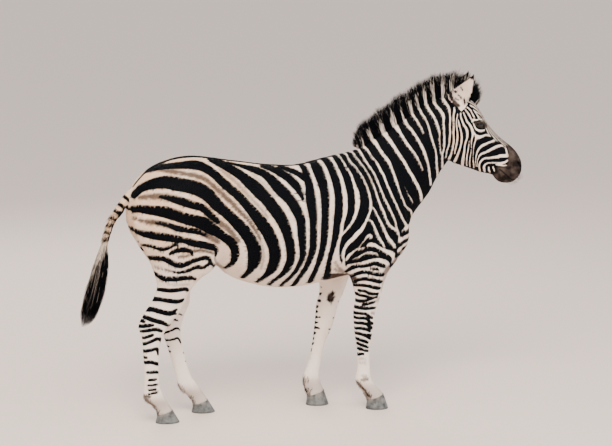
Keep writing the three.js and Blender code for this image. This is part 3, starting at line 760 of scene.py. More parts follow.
BLACK_HIND_LEG = [
    [(-80, 69.9, .7), (-78.6, 70, .9), (-76, 70.2, 1.3), (-73, 70, 1.5), (-70, 70.2, 1.4),
     (-67, 70.5, 1.3), (-65, 70.3, 1.1), (-64, 69.3, .6)],
    [(-82, 65, 1), (-80.7, 65, 1.3), (-78, 65.3, 1.3), (-75, 64.8, 1.4), (-72, 64.3, 1.6), (-69, 64, 1.5),
     (-67, 64.3, 1.1), (-66.2, 64.8, .5)],
    [(-85, 59.5, 1), (-83.8, 59.7, 1.3), (-81.5, 60, 1.6), (-79, 59.4, 1.7), (-76.5, 58.6, 1.7),
     (-74, 58, 1.8), (-72, 57.8, 1.7), (-70.6, 58.2, .8)],
    [(-72, 58.5, .9), (-69.5, 59.6, .5)],
    [(-71.5, 57.8, .8), (-69.8, 57.3, .4)],
    [(-85.7, 56.3, 1), (-83.5, 55.5, 1.4), (-81, 54.6, 1.5), (-78.5, 53.8, 1.5), (-76.3, 53, 1.3),
     (-74.5, 51.8, .7), (-73.5, 51.2, .4)],
    [(-87, 54.2, 1), (-85.8, 54, .8)],
    [(-88, 51.4, 1), (-86, 51.6, 1), (-83.5, 52, 1), (-81.5, 52.2, .6)],
    [(-87, 48.8, .6), (-84, 49.4, 1), (-81.5, 49.8, 1), (-79.5, 49.8, 1.2), (-78, 49.2, 1), (-77, 48.6, .5)],
    [(-86.3, 45.2, .6), (-84, 46, .8), (-82.5, 46.6, .8), (-81.5, 47, .5)],
    [(-86, 42, .9), (-84, 42.8, .9), (-81.5, 43.9, .9), (-79.5, 44.7, 1), (-78, 44.5, 1), (-77.2, 43.3, .6)],
    [(-86, 38.3, .9), (-84, 38.6, .9), (-82, 39, .9), (-80, 39.5, .9), (-79.2, 39.1, .9), (-78.7, 38, .8),
     (-78.5, 36.5, .5)],
    [(-85.8, 35, .7), (-84.6, 35, .5)],
    [(-85.5, 32.3, .7), (-83.5, 32.5, 1), (-82, 32.5, 1.1), (-80.3, 31.9, 1), (-78.4, 31, .7)],
    [(-84.2, 27.2, .4), (-82, 27.2, .8), (-80.5, 27.3, .8), (-78.4, 26.7, .4)],
    [(-83.2, 23.2, .4), (-81, 23.3, .6), (-79.7, 23.4, .3)],
    [(-83.6, 20.4, .1), (-79.4, 20.7, .2)], [(-83.4, 17.9, .1), (-80, 18.2, .15)],
    [(-83.6, 15.9, .1), (-79.6, 16.5, .2)],
]
BLACK_TAIL = [
    [(-95, 117.5, .7), (-90.5, 113.5, .8)], [(-97, 113, .8), (-93, 110, .9)],
    [(-99, 109.5, .9), (-95, 107, 1)], [(-101, 106, .9), (-97, 104.2, 1)],
    [(-103, 102.5, .9), (-98.6, 100.9, 1)], [(-104.5, 98.6, .9), (-99.8, 97.6, 1)],
    [(-105.5, 95, 1.1), (-100.8, 94.6, 1.2)],
    [(-91.5, 110.5, .5), (-94, 107, .7), (-97, 103, .8), (-99.3, 98, .8), (-101, 92, .9)],
]
# %% Where the ground is black: shoulder, neck and head
BLACK_GROUND = [
    (13.9, 136), (13.9, 132), (14.35, 130), (15.1, 127.5), (15.9, 125), (16.5, 122.4), (17, 120),
    (17.4, 117.4), (17.6, 115), (17.7, 112.6), (17.4, 108.5), (16.8, 105.6), (15.9, 103.2),
    (15.2, 101.2), (14.6, 98.5), (14.2, 96), (13.9, 94.5), (13.2, 92.5), (12.8, 90.5), (13.5, 89),
    (15.9, 86), (17, 81.5), (17.2, 79.2), (20.4, 79.5), (23.5, 79.9), (26.5, 80.8), (29.6, 81.7),
    (32, 82), (34, 82.1), (36, 81.6), (38, 80.9), (39.7, 79.9), (40.8, 78.5), (41.5, 78.6),
    (41.8, 80.5), (41.6, 82), (43.9, 83.5), (44.2, 80.8), (44.8, 80.4), (45.7, 82.5), (46.5, 85.5),
    (48.5, 85.8), (49.9, 85.2), (50.4, 86), (51.4, 89), (52.2, 91.5), (52.9, 94), (54.9, 95.4),
    (57, 95), (62, 104), (66, 112), (72, 120), (80, 122), (88, 119), (100, 116), (112, 118), (114, 130),
    (108, 139), (100, 148), (96, 154), (92, 158), (88, 163), (86, 161.5), (84.5, 158.5), (83, 156.5),
    (81, 155), (79.7, 156.6), (77.5, 159.5), (75.5, 163), (73, 166), (60, 160), (46, 152), (33, 145),
    (20, 138),
]
# %% White bands of the shoulder and neck
WHITE_NECK = [
    [(17.2, 134, 1.2), (17.4, 132.6, 1.2), (18.5, 129.3, 1.2), (19.7, 126.9, 1.2), (20.9, 124.5, 1.3),
     (21.6, 122, 1.5), (22.1, 119.3, 1.7), (22.8, 116.5, 2.3), (23, 113.8, 2.7), (22.9, 111, 2.7),
     (22.4, 108.3, 2.4), (21.8, 105.9, 2), (20.7, 103.4, 1.8), (19.5, 101.4, 1.6), (17.8, 99.3, 1.5),
     (16, 97.4, 1.4), (14.4, 95.9, 1.4), (13, 94.6, 1)],
    [(20.9, 134.6, 1.3), (21.1, 133.3, 1.3), (21.9, 130, 1.3), (24, 127.9, 1), (25.4, 125.5, 1.1),
     (26.8, 122.8, 1.1), (27.8, 120.3, 1.2), (28.8, 117.2, 1.2), (29.5, 113.8, 1.4), (29.9, 110.7, 1.6),
     (29.7, 107.9, 1.6), (29.2, 105.9, 1.4), (28.1, 103.4, 1.5), (27.1, 101.4, 1.5), (25.7, 99, 1.8),
     (24.3, 96.9, 2.2), (22, 95, 2.4), (19.6, 92.7, 2.3), (17.3, 90.8, 2.1), (15.6, 88.5, 1.9),
     (14.8, 86.2, 1.7), (14.8, 83.8, 1.6), (15.6, 81.5, 1.8)],
    [(28.4, 102, .9), (29.6, 101.3, 1.2), (30.9, 99.3, 1.3), (31.9, 97, 1.5), (33.1, 94.2, 1.6),
     (34.6, 91.6, 1.6), (36.2, 89.2, 1.3), (37.4, 87.2, 1)],
    [(30, 108.6, .9), (31.9, 106.6, 1), (33, 104.1, 1.1), (34.3, 101.7, 1.3), (35.7, 99, 1.5),
     (37, 96.6, 1.7), (38.1, 94.2, 1.8), (39.6, 91.6, 2), (41.5, 89.6, 2.1), (43, 87.8, 1.8),
     (43.6, 86.8, 1.4)],
    [(24.4, 135, 1.3), (24.7, 133.9, 1.3), (26.2, 130.7, 1.2), (28.1, 127.9, 1.1), (29.5, 125.2, .9),
     (30.9, 122.1, 1), (31.9, 119.3, 1.1), (32.8, 116.6, 1.2), (33.8, 112.8, 1.3), (35, 109, 1.4),
     (36.8, 105.5, 1.4), (37.8, 102.4, 1.4), (39.5, 99.3, 1.5), (41.6, 97.2, 1.5), (44, 96, 1.4)],
    [(27.5, 136.3, 1.4), (28, 135.1, 1.4), (28.8, 133.1, 1.4), (29.7, 130.7, 1.3), (31.2, 127.9, 1.2),
     (32.8, 125.2, 1.2), (34.2, 122.1, 1.2), (35, 119.3, 1.2), (36.1, 116.2, 1.2), (37.4, 112.8, 1.3),
     (39.2, 109, 1.3), (40.9, 105.5, 1.3), (42.6, 102.4, 1.2), (43.8, 99.7, 1.2), (44.4, 96.9, 1.2),
     (44.9, 95.4, 1.6), (45.8, 93.5, 1.5), (46.7, 90.4, 1.6), (47.4, 87.3, 1.9), (47.9, 84.6, 2.2)],
    [(29.6, 138.6, 1.4), (30.6, 137.1, 1.4), (31.9, 135.5, 1.3), (33.3, 132.8, 1), (34.7, 130.7, 1.1),
     (36.1, 128.6, 1.5), (37.4, 125.5, 1.6), (38.7, 123.1, 1.6), (39.3, 120.7, 1.5), (40.2, 117.9, 1.4),
     (41.6, 114.8, 1.4), (43.1, 111.4, 1.3), (44.7, 108.3, 1.3), (46.4, 104.8, 1.3), (48.1, 101.7, 1.4),
     (49.9, 99, 1.6), (51.6, 96.9, 1.9), (54.7, 95.2, 2.5)],
    [(34.4, 142.6, 2.4), (35.3, 140.8, 2.4), (36.6, 138.6, 2.2), (38.4, 135.1, 1.8), (40.3, 132.3, 2),
     (42, 130, 1.8), (43, 128, 1.5), (44.1, 125, 1.5), (45.8, 120, 1.5), (47.4, 115, 1.2),
     (49.6, 110, 1.2), (51, 107.2, 1.2), (52.7, 105.4, 1.3), (54.7, 104.1, 1.4), (55.9, 102.1, 1.5),
     (56.4, 100.3, 1.6), (55.7, 97.5, 1.5), (55, 95.5, 1.4)],
    [(50.7, 116.9, .4), (51.6, 114.8, .6), (53, 112.4, .7), (54.7, 110, .8), (56.1, 107.9, .9)],
    [(40.2, 146, 2.8), (41.2, 144.4, 2.8), (42.3, 142.3, 2.5), (43.9, 139.9, 2.2), (45.7, 137.1, 1.9),
     (46.9, 135, 1.9), (50.3, 130, 1.8), (53.3, 125, 1.8), (56.4, 120, 1.9), (59.4, 115, 1.8),
     (60.6, 112, 1.9), (61.4, 109, 2)],
    [(46.4, 149.5, 2.6), (47.9, 146.7, 2.6), (49.3, 144.2, 1.8), (51.1, 141, 1.5), (53.2, 137.8, 1.6),
     (56.4, 133.8, 1.3), (58.3, 130.8, 1.2), (60, 127.5, 1.1), (61.1, 124.9, .8)],
    [(51.2, 152.6, 2), (52.3, 150.3, 2), (53.5, 147.6, 1.5), (55.7, 145, 1.6), (58.9, 140, 1.5),
     (61.4, 135.2, 1.8), (63.2, 130.5, 1.5), (64.5, 126, 1.2), (65.4, 121, 1.4), (66.3, 117, 1.6)],
    [(55.6, 155, 1.7), (56.3, 153.4, 1.6), (57.6, 151.2, 1.4), (59, 149, 1.3), (60.5, 146.4, 1),
     (61.7, 143.8, .8)],
    [(59.8, 158.3, 1.4), (60.3, 156, 1.3), (60.9, 153.8, 1.3), (62.7, 151.2, 1.3), (63.9, 148.2, 1.2),
     (64.8, 145.3, 1.2), (65.7, 141.9, 1.1), (66.8, 138.6, 1.1), (67.9, 135.3, 1), (68.5, 131.9, 1.1),
     (68.9, 128.2, 1.3), (69.4, 124.9, 1.3), (70.1, 121.6, 1.4)],
    [(63.4, 160.2, 1.5), (64, 158.2, 1.5), (64.6, 156, 1.5), (66.1, 153.8, 1.5), (67.6, 151.2, 1.5),
     (68.7, 148.6, 1.3), (69.6, 146, 1.2), (70.1, 143.4, .9), (70.1, 140.4, .7), (70.4, 137.5, .7),
     (70.7, 134.5, .8), (71.6, 132.7, .8)],
    [(66.6, 161, 1.7), (67.7, 159.3, 1.7), (69, 157.1, 1.5), (70.9, 154.9, 1.6), (72.2, 152.3, 1.5),
     (72.2, 149.3, 1.1), (72.4, 146.7, 1), (72.6, 143, 1), (72.6, 140.1, 1.1), (72.7, 137.1, 1),
     (72.2, 134.1, .9), (71.8, 132.7, .9), (72.1, 129, 1.1), (72.6, 125.6, 1.2)],
    [(71.6, 163, 1.6), (72.2, 161.2, 1.6), (73.5, 159, 1.4), (75, 156.7, 1.3), (75.5, 154.1, 1),
     (75.7, 151.2, .9), (75.5, 147.5, .9), (75.7, 143.8, .9), (75.5, 140.4, 1), (75.1, 137.1, .8),
     (74.2, 134.1, .8), (73.9, 130.8, .7)],
]
# %% White bands of the head
WHITE_HEAD = [
    [(77.7, 156.7, 1), (77.7, 155.1, .9), (77.3, 152.6, .9), (77.3, 149.8, .9), (77.4, 146.4, .9),
     (77.4, 143.1, .8), (77.6, 140.3, .9), (77.4, 137.6, .9), (77.1, 134.8, .8), (76.6, 132.3, .9),
     (75.9, 130, 1.5)],
    [(79.3, 153.7, .5), (78.7, 150.3, .5), (78.8, 147.6, .6), (79.2, 144.2, .7), (79.3, 140.9, .9),
     (78.9, 137.6, .8), (78.5, 134.8, .7), (78.3, 132.8, .4)],
    [(79.6, 150.6, .5), (80.1, 148.1, .8), (80.9, 145.3, .7), (81.4, 142.6, .9), (81.4, 139.8, .9),
     (81, 137, .8), (80.3, 134.2, 1), (79.6, 131.4, 1.2), (78.8, 128.7, 1.5)],
    [(80.8, 154.2, .6), (80.8, 152.3, .7), (81.6, 150.1, .9), (82.4, 148.1, 1), (83.7, 146.2, 1.2),
     (84.2, 143.9, 1.1), (84.1, 141.4, .9), (83.4, 138.9, .8), (83.1, 137, .8), (83, 134.2, 1),
     (82.7, 131.4, 1.3), (82.7, 128.7, 1.5), (83, 126.2, 1.3)],
    [(82.1, 154.5, .5), (83.1, 152.3, .7), (83.9, 150.1, .9), (85.3, 148.4, 1), (86.4, 146.4, 1.2),
     (87, 144.2, 1.3), (86.9, 142.4, .8), (86.4, 140.3, .7), (86.4, 138, .5), (86.5, 135, .4),
     (86.3, 132.5, .5), (86.1, 130, .5), (86.3, 127.5, .6), (86.8, 125.5, .5)],
    [(85.3, 140, .3), (85.1, 137.6, .5), (84.9, 135, .6), (84.6, 132.5, .6), (84.5, 130, .7),
     (84.8, 127.5, .6), (85.3, 126, .5)],
    [(90, 142, 1.8), (88.9, 142.4, 1.3), (88.4, 140.3, .7), (87.8, 138.1, .6), (87.6, 135.3, .4),
     (87.7, 132.6, .4), (87.8, 129.8, .5), (88.4, 127, .6), (88.7, 125, .5)],
    [(87, 144.6, 1), (88.2, 143.3, .9), (89, 142, 1.5), (90.5, 142, 1.7), (92, 142.4, 1.1), (94, 142.9, 1),
     (96, 142.4, .9), (97.9, 141.6, .5)],
    [(87.1, 149.2, .5), (88, 147, .8), (89.2, 145.6, .9), (90.9, 145.1, .7), (92.6, 145.3, .7),
     (94.2, 145.8, 1.1), (96, 145.2, 1.3)],
    [(86.6, 150, .9), (87.3, 150.8, 1.2), (88.7, 150.7, .7), (90.3, 150.9, .6), (92, 150.8, .7),
     (93.9, 150.4, .9)],
    [(83.1, 155.9, .6), (84.5, 154.2, .8), (85.6, 152.3, .7), (86.2, 150.9, .6)],
    [(84.2, 157, .7), (85.9, 155.6, .6), (86.7, 153.9, .6), (87.6, 152.3, .9)],
    [(86.4, 158.1, .6), (87.3, 156.2, .6), (88.4, 154.5, .6), (89.5, 152.6, .6), (90.3, 151.2, .7)],
    [(89.8, 155.9, .5), (91.4, 153.4, .7), (92.3, 151.4, .8)],
    [(100.3, 140.1, .6), (98.9, 139.9, 1.2), (97.2, 139.3, 1), (95.5, 138.8, 1.1), (93.9, 138.2, 1.2),
     (92.2, 137.5, 1.3), (90.8, 136.3, 1.2), (89.8, 134.7, 1), (89.3, 132.5, .7), (89.1, 130.4, .5),
     (89.3, 128, .4), (89.8, 126, .4)],
    [(104.8, 135.8, .8), (103.6, 136.6, .9), (102.2, 136.9, 1), (100.5, 136.7, 1.3), (98.9, 136.1, 1.4),
     (97.2, 135.3, 1.3), (95.5, 134.5, 1.2), (93.9, 133.7, 1.1), (92.2, 133.2, 1.2), (91.1, 132.3, .9),
     (90.5, 130.9, .6), (90.1, 129, .4), (90.4, 126, .4)],
    [(104.8, 135.8, .7), (105.3, 134, .8), (105.6, 132.4, 1)],
    [(105.6, 131.8, 1.9), (104.1, 131.6, 1.6), (102.2, 131.6, 1.7), (100, 131.1, 1.4), (97.9, 130.9, 1.1),
     (96, 130.7, .9), (94.1, 130.7, .9), (92.7, 129.9, 1), (91.7, 128.7, 1), (91.2, 127, .8),
     (91.5, 125.1, .8), (92.2, 123.2, .8)],
    [(105.7, 129.2, .9), (104.8, 128.5, 1), (103.6, 128, 1.2), (102.2, 127.8, 1.1), (100, 128, .8),
     (97.9, 128.1, .6), (96, 128, .7), (94.6, 127.5, .9), (93.7, 126.1, 1.1), (93.9, 124.7, 1.1),
     (94.6, 122.8, .6)],
    [(99.9, 127.2, .7), (102.2, 126.8, .9), (104.1, 126.6, .8), (105.5, 126.8, .6)],
    [(96.2, 125.6, .8), (96.5, 124.2, .9), (97.1, 122.8, .6)],
    [(98.4, 125.9, .7), (98.9, 124.7, .8), (99.4, 123.4, .5)],
]
# %% White bands inside the black triangle of the arm, and black ticks over white
WHITE_ARM = [
    [(23.2, 88, .5), (24.5, 89.7, .8), (26, 91.5, 1), (27.3, 93.2, 1.3), (28.6, 94, 1.6), (29.6, 93.4, 1.9),
     (29.5, 92.8, 1.4)],
    [(16.8, 81.5, 1.2), (17.6, 83.5, 2), (19, 85, 1.6), (20.8, 86.4, 1.2), (22.5, 87.3, 1.1),
     (24, 87.3, .9), (25.5, 87.6, .9), (27.2, 88.3, .5)],
    [(20.4, 82.1, .6), (23.1, 82.7, 1), (25.4, 84, 1), (27.7, 85, 1.2), (30.4, 84.8, 1.3),
     (32.7, 84.2, 1.1), (33.8, 83.5, .6)],
    [(28.1, 88.8, 1.6), (29, 89.1, 2.1), (30.5, 89, 2.2), (32, 88.5, 2), (34.2, 87.3, 1.6),
     (36.9, 85.8, 1.8), (39.6, 84.6, 2.4), (41.8, 83.4, 3), (43, 81.5, 2.4), (43, 79, 1.5)],
    [(48.1, 95, .4), (49.6, 92.7, .5), (50.8, 90.4, .6), (51, 88, 1.2), (51.2, 86, 1.6)],
    [(-7.5, 128.3, .9), (-4.2, 126.4, .9)],
]
BLACK_TICKS = [
    [(103.3, 127.1, .3), (104.6, 127.2, .4), (106, 127.1, .5)],
    [(97.5, 127, .5), (99.6, 127, .4)],
]

# %% [markdown]
# ## Shadow bands and painted shade in the folds
# In the white bands of the rump run soft brown lines, as on the southern plains zebras. In the folds
# of the flank, elbow and breast the brown is partly bare skin and partly painted shade in the
# creases. These are lines too, each with a strength.
# %% Brown lines: strength, then x, z and width
BROWN_LINES_AND_FOLD_SHADE = [
    [.62, (-80, 129.3, .5), (-76, 129.3, .8), (-70, 128.8, 1.2), (-65, 128, 1.4), (-60, 127, 1.6),
     (-55, 125.3, 1.8), (-50, 120.9, 1.8), (-47.5, 118.5, 1.9), (-45, 115.9, 2), (-42.5, 113.5, 2),
     (-40, 110.8, 1.8), (-35, 105.3, 1.5), (-33, 102.5, 1.3), (-30.5, 98.5, 1.2), (-28.8, 95, .8)],
    [.35, (-28.8, 95, 1), (-27, 87, 1), (-27.5, 80, .8)],
    [.4, (-47, 129.3, .6), (-43, 126.5, .9), (-40, 123.7, 1.1), (-35, 118, 1.2), (-32, 114.5, 1.1),
     (-28, 110.3, .9), (-25, 106, .8)],
    [.25, (-30, 126, .5), (-25, 121.5, .8), (-20, 115.5, .7)],
    [.6, (-52, 106.8, 2.4), (-47.6, 103, 2.4), (-45, 101.2, 2.2), (-42, 97.5, 1.8), (-39.5, 94.5, 1.5)],
    [.62, (-87, 116.4, .8), (-85, 116.9, 1.4), (-80, 117.5, 2.2), (-75, 117.2, 2.8), (-70, 115.9, 3.2)],
    [.65, (-89.7, 106.4, .6), (-85, 105.4, 1.2), (-80, 104.9, 2), (-75, 103.8, 2.2), (-70, 102, 2.4)],
    [.6, (-57, 98.5, 1.8), (-53.9, 96.9, 1.8), (-51.3, 95.4, 1.8), (-49.2, 93.8, 1.6)],
    [.65, (-62.7, 90.4, .8), (-59.2, 90.4, 1), (-56, 89.8, .8), (-52.8, 88.8, .7), (-51.3, 88, .5)],
    [.6, (-69.5, 88, .5), (-67, 87.8, .9), (-64.5, 88.4, .7)],
    [.6, (-80.2, 82.2, .4), (-75, 80.9, .5), (-71.3, 79.8, .5)],
    [.3, (-74, 73.3, .8), (-69, 73.1, .9), (-64, 73, .8)],
    # From here to the breast: painted shade in the folds of flank, elbow and arm, over bare brown skin.
    [.45, (-50.5, 85.5, .4), (-49.6, 83.0, .9), (-47.5, 80.5, 1.2), (-44, 78, .8)],
    [.85, (6.5, 72, 2), (12, 71.3, 4), (18, 71, 4.5), (21.5, 70, 4.5)],
    [.95, (8, 73.5, .5), (14, 73.7, .7), (19, 72.6, .5)],
    [.5, (11, 81, .6), (13, 78, .8), (17, 74.5, 1.2)],
    [.5, (11.5, 77, .5), (14, 75, .7)],
    [.55, (38.5, 74, 2.6), (40, 76, 2.6), (42, 77.6, 2), (45, 80.8, 1.4), (47.4, 83.8, 1)],
    [.3, (37.5, 64, 1), (38.4, 70, 2), (38.5, 74, 2.6)],
    [.4, (49, 81, 2), (51, 84.5, 1.4)],
    [.45, (32.3, 52.1, 1), (33.6, 51.7, .5)], [.4, (29, 57.4, .8), (34.5, 58.7, .9)],
    [.3, (36, 59.5, 1.6), (36.6, 57, 1)],
    [.4, (-84, 20.3, .4), (-79, 20.6, .5)], [.4, (-82, 16.5, .5), (-79, 17, .6)],
    [.25, (-84, 18.7, .3), (-80.5, 18.7, .5)],
    [.35, (27, 27.6, .4), (29.5, 27.6, .4)], [.3, (27, 25.6, .4), (29.5, 25.5, .4)],
    [.5, (28.7, 18.5, .4), (30.6, 18.5, .4)], [.6, (27.8, 16.3, .4), (29.5, 16.4, .6), (31, 16.6, .7)],
    [.75, (25.8, 14.6, .9), (28, 12.3, .9), (30, 10, .7), (31, 8.5, .8), (32, 7, .8)],
    [.9, (-86, 14.7, 1), (-83, 14.6, .6)], [.6, (-85, 13, 1.4), (-82.8, 11, 1), (-80, 9, .6)],
]
# %% Dark skin: strength, then x, z and width
DARK = [
    [1.0, (87.9, 148.9, .8), (89.5, 148.6, 2.6), (91.5, 148.3, 3.5), (93.5, 147.6, 2.6), (94.6, 147, .9)],
    [.95, (85.6, 173.6, 1.8), (83.0, 171.4, 1.8), (80.0, 169.2, 1.5), (77.2, 167.0, 1.4)],
    [1.0, (75.2, 165, 1.6), (75.4, 162.6, 1.9), (77.0, 160.4, 2.0), (79.8, 157.8, 1.8)],
    [.85, (76.6, 165.3, .9), (78.4, 164.6, 1.1)], [.85, (77.6, 161.6, .8), (79.8, 160.6, 1.0)],
    [.8, (80.4, 167.2, .7), (81.6, 165.6, .8)], [.8, (79.6, 163.0, .7), (81.2, 161.4, .8)],
    [.85, (82.4, 161, .8), (82.9, 158.8, .9)],
]
MUZZLE = [
    (105.6, 139.6), (105.9, 136.5), (106, 134), (105.9, 132.5), (106, 130.5), (106.2, 129),
    (106, 127), (104, 126), (102, 125.7), (100.5, 125.5), (100, 124), (99.4, 122), (98.4, 119),
    (103, 112), (116, 114), (118, 130), (112, 138),
]
print(len(BLACK_RUMP + BLACK_BARREL + BLACK_FORE_LEG + BLACK_HIND_LEG + BLACK_TAIL), "black bands and",
      len(WHITE_NECK + WHITE_HEAD + WHITE_ARM), "white ones")

# %% [markdown]
# ## From bands to numbers at every point
# `markings` gives any point of the straight animal its distance to the nearest edge, and how
# brown, dark and buff its hair is. Skin and tufts both ask it, so they always agree.
# %% Distances to bands and outlines
FAR = 4.0
# Pale tufts reach over the dark hair beside them, so black bands are grown by this many cm.
BAND_GROWTH = 0.36
BREAST_BAND = 5.2  # cm from one band across the breast to the next
FACE_SHARE, BREAST_SHARE = 0.30, 0.24  # half the black share of the even lines there
BROWN_GAIN = 1.45  # brown lines are drawn this much stronger than listed
EAR_LONG = 18  # cm, base to tip
# Half breadth in cm of the black line down the middle of the back, by x in metres.
BACK_LINE = np.array([
    [-.90, .8], [-.84, 1.3], [-.72, 2.3], [-.60, 3.2], [-.45, 3.4], [-.35, 2.3], [.10, 1.5],
])
CHESTNUT = [(27.4, 59.8), (29.2, 60.9), (31.0, 59.6), (31.4, 56.6), (30.0, 54.2), (28.0, 54.8), (27.1, 57.4)]
MOUTH = [(101.8, 124.6, .3), (104.5, 122.3, .35), (107.5, 119.6, .3), (111, 118.6, .25)]


def nearest(xz, lines, margin=FAR):
    """The smallest distance to any of the lines."""
    best = np.full(len(xz), float(margin))
    for line in lines:
        best = np.minimum(best, distance_to(xz, line, margin))
    return best


def outline_distance(xz, corners):
    """Distance to a closed outline, below 0 inside (even-odd rule along +x)."""
    corner = np.array(corners, float)
    after = np.roll(corner, -1, 0)
    best = np.full(len(xz), 1e9)
    inside = np.zeros(len(xz), bool)
    for a, b in zip(corner, after):
        best = np.minimum(best, nearest_on(xz, a, b)[1])
        crosses = (a[1] > xz[:, 1]) != (b[1] > xz[:, 1])
        rise = b[1] - a[1] if b[1] != a[1] else 1.0
        inside ^= crosses & (xz[:, 0] < a[0] + (xz[:, 1] - a[1]) * (b[0] - a[0]) / rise)
    return np.where(inside, -best, best)


def leg_section(p):
    """The leg's middle |y| and half width at each point's height, in metres."""
    z = p[:, 2] * 1000
    middle, half = [], []
    for rungs in (FORE_LEG, HIND_LEG):
        r = np.array(rungs, float)[::-1]
        height = (r[:, 1] + r[:, 3]) / 2
        middle.append(np.interp(z, height, -r[:, 6]) / 1000)
        half.append(np.interp(z, height, r[:, 4]) / 1000)
    return np.where(is_fore(p), *middle), np.where(is_fore(p), *half)


# %% Markings at a point
HEAD_FRONT = np.array([0.70, 0.0, 0.714])
TAIL_ROOT = -0.905


def even_lines(beat, share, spacing):
    """Edge distance of black lines at the whole beats, each 2 share of a spacing broad."""
    return (np.abs((beat + 0.5) % 1 - 0.5) - share) * spacing


def drift(p):
    """Small shift of the left side's pattern, since no animal's two sides are alike."""
    amount = smoothstep(0.02, 0.16, p[:, 1])
    x, z = p[:, 0], p[:, 2]
    dx = 1.3 * np.sin(5.1 * z + 3.0 * x + 0.7) + 0.5 * np.sin(17.0 * z - 6.0 * x)
    dz = 1.1 * np.sin(4.3 * x - 2.2 * z + 2.0) + 0.4 * np.sin(15.0 * x + 5.0 * z)
    fade = 1 - 0.75 * smoothstep(0.78, 0.86, x)
    return np.stack([dx, dz], -1) * (amount * fade)[:, None]


def markings(p, normal):
    """Edge distance in cm (black below 0), and brown, dark and buff from 0 to 1."""
    x, y, z = p.T
    xz = side_chart(p) + drift(p)
    outward = normal[:, 1] * (np.sign(y) + (y == 0))
    black = nearest(xz, BLACK_RUMP + BLACK_BARREL + BLACK_FORE_LEG + BLACK_HIND_LEG)
    on_tail = x < TAIL_ROOT
    black = np.where(on_tail, np.minimum(black + 0.6, nearest(xz, BLACK_TAIL)), black)
    edge = np.minimum(black, outline_distance(xz, BLACK_GROUND))
    edge = np.maximum(edge, -nearest(xz, WHITE_NECK + WHITE_HEAD + WHITE_ARM))
    edge = np.minimum(edge, nearest(xz, BLACK_TICKS))
    # The inner sides of the legs are nearly white.
    middle, half = leg_section(p)
    inner = (middle - np.abs(y)) / half
    on_leg = smoothstep(0.80, 0.74, z) * (np.abs(y) > 0.02)
    wave = 0.12 * np.sin(z * 90) + 0.10 * np.sin(z * 37 + 2)
    hock = bell(z, 0.46, 0.10) * np.where(is_fore(p), 0.35, 1.0)
    edge = edge + 0.38 * smoothstep(0.1, 0.6, inner) * on_leg
    whitened = (inner - 0.22 - hock + wave) * half * 100 - 5 * (1 - on_leg)
    edge = np.where(on_leg > 0, np.maximum(edge, whitened), edge)
    # A black line runs down the back, and even lines cross the face and the breast.
    back_line = np.abs(y) * 100 - np.interp(x, *BACK_LINE.T)
    back_line = back_line + 6 * smoothstep(0.14, 0.22, x)
    edge = np.where((z > 1.2) & (x < 0.22), np.minimum(edge, back_line), edge)
    facing = normal @ HEAD_FRONT
    on_front = smoothstep(0.54, 0.68, facing) * (x > 0.84) * (z < 1.60)
    spacing = np.interp(x, [0.84, 0.92, 1.07], [1.5, 1.25, 0.62])
    beat = np.abs(y) * 100 / spacing
    lines = even_lines(beat, FACE_SHARE, spacing)
    edge = blend(edge, lines, on_front)
    breast = smoothstep(0.30, 0.60, normal[:, 0]) * smoothstep(0.34, 0.40, x) * (x < 0.70)
    breast = breast * smoothstep(0.99, 0.95, z) * smoothstep(0.72, 0.77, z)
    rung = (z * 100 + 0.35 * np.abs(y) * 100) / BREAST_BAND
    across = even_lines(rung, BREAST_SHARE, BREAST_BAND)
    edge = blend(edge, across, breast)
    # Bands grow under the tufts, least on the head, and the ears are marked along their length.
    on_ear = is_ear(p)
    along_ear = ((p[:, [0, 2]] - EAR_BASE) @ (EAR_TIP - EAR_BASE)) / np.sum((EAR_TIP - EAR_BASE) ** 2)
    back_of_ear = np.minimum(np.abs(along_ear - 0.2) - 0.10, 0.40 - along_ear) * EAR_LONG
    on_head = smoothstep(0.64, 0.76, x)
    shoulder = smoothstep(0.05, 0.20, x) * smoothstep(0.70, 0.80, z)
    thin_bands = np.maximum(smoothstep(-0.42, -0.55, x), smoothstep(0.85, 0.75, z))
    edge = edge - BAND_GROWTH * (1 - 0.45 * shoulder + 0.4 * thin_bands) * (1 - 0.75 * on_head)
    edge = edge * (1 + 1.3 * np.maximum(on_head, smoothstep(0.80, 0.70, z)))
    hollow_of_ear = (0.83 - along_ear) * EAR_LONG
    edge = np.where(on_ear, np.where(outward < 0.05, back_of_ear, hollow_of_ear), edge)
    # Brown shadow bands and painted shade in the folds, then the dark skin of muzzle, eye and ear rim.
    brown = np.zeros(len(p))
    for strength, *line in BROWN_LINES_AND_FOLD_SHADE:
        soft = smoothstep(0.80, 0.0, distance_to(xz, line, 2.0))
        brown = np.maximum(brown, min(1.0, BROWN_GAIN * strength) * soft)
    brown = brown * (1 - smoothstep(0.2, 0.7, inner) * on_leg) * ~on_ear
    dark = smoothstep(0.9, -0.9, outline_distance(xz, MUZZLE))
    for strength, *line in DARK:
        crisp = smoothstep(0.3, -0.3, distance_to(xz, line, 2.0)) * (outward > -0.1)
        dark = np.maximum(dark, strength * crisp)
    edge = np.where(on_ear & (dark > 0.4), -FAR, edge)
    dark = np.where(on_ear, 0.5 * dark, dark)
    # The chestnut on the inner forearm, painted shade in the mouth line and nostrils, and the stained
    # pasterns.
    chestnut = outline_distance(xz, CHESTNUT)
    dark = np.maximum(dark, smoothstep(0.15, -0.15, chestnut) * (inner > 0.4) * is_fore(p))
    # The mouth line and the nostril slits are painted near black, as painted shade in the groove and the pit.
    slit_shade = smoothstep(0.32, -0.05, nearest(xz, [MOUTH, NOSTRIL_LINE], 2.0))
    dark = dark * (1 - 0.85 * slit_shade)
    edge = np.where(slit_shade > 0.05, -FAR, edge)
    pastern = 0.45 * smoothstep(0.17, 0.10, z)
    brown = np.maximum(brown, pastern)
    rump = smoothstep(0.1, -0.6, x) * smoothstep(0.75, 1.1, z)
    buff = 0.50 + 0.45 * rump - 0.22 * smoothstep(0.8, 0.5, z)
    return {"edge": np.clip(edge, -FAR, FAR), "brown": brown, "dark": dark, "buff": buff}


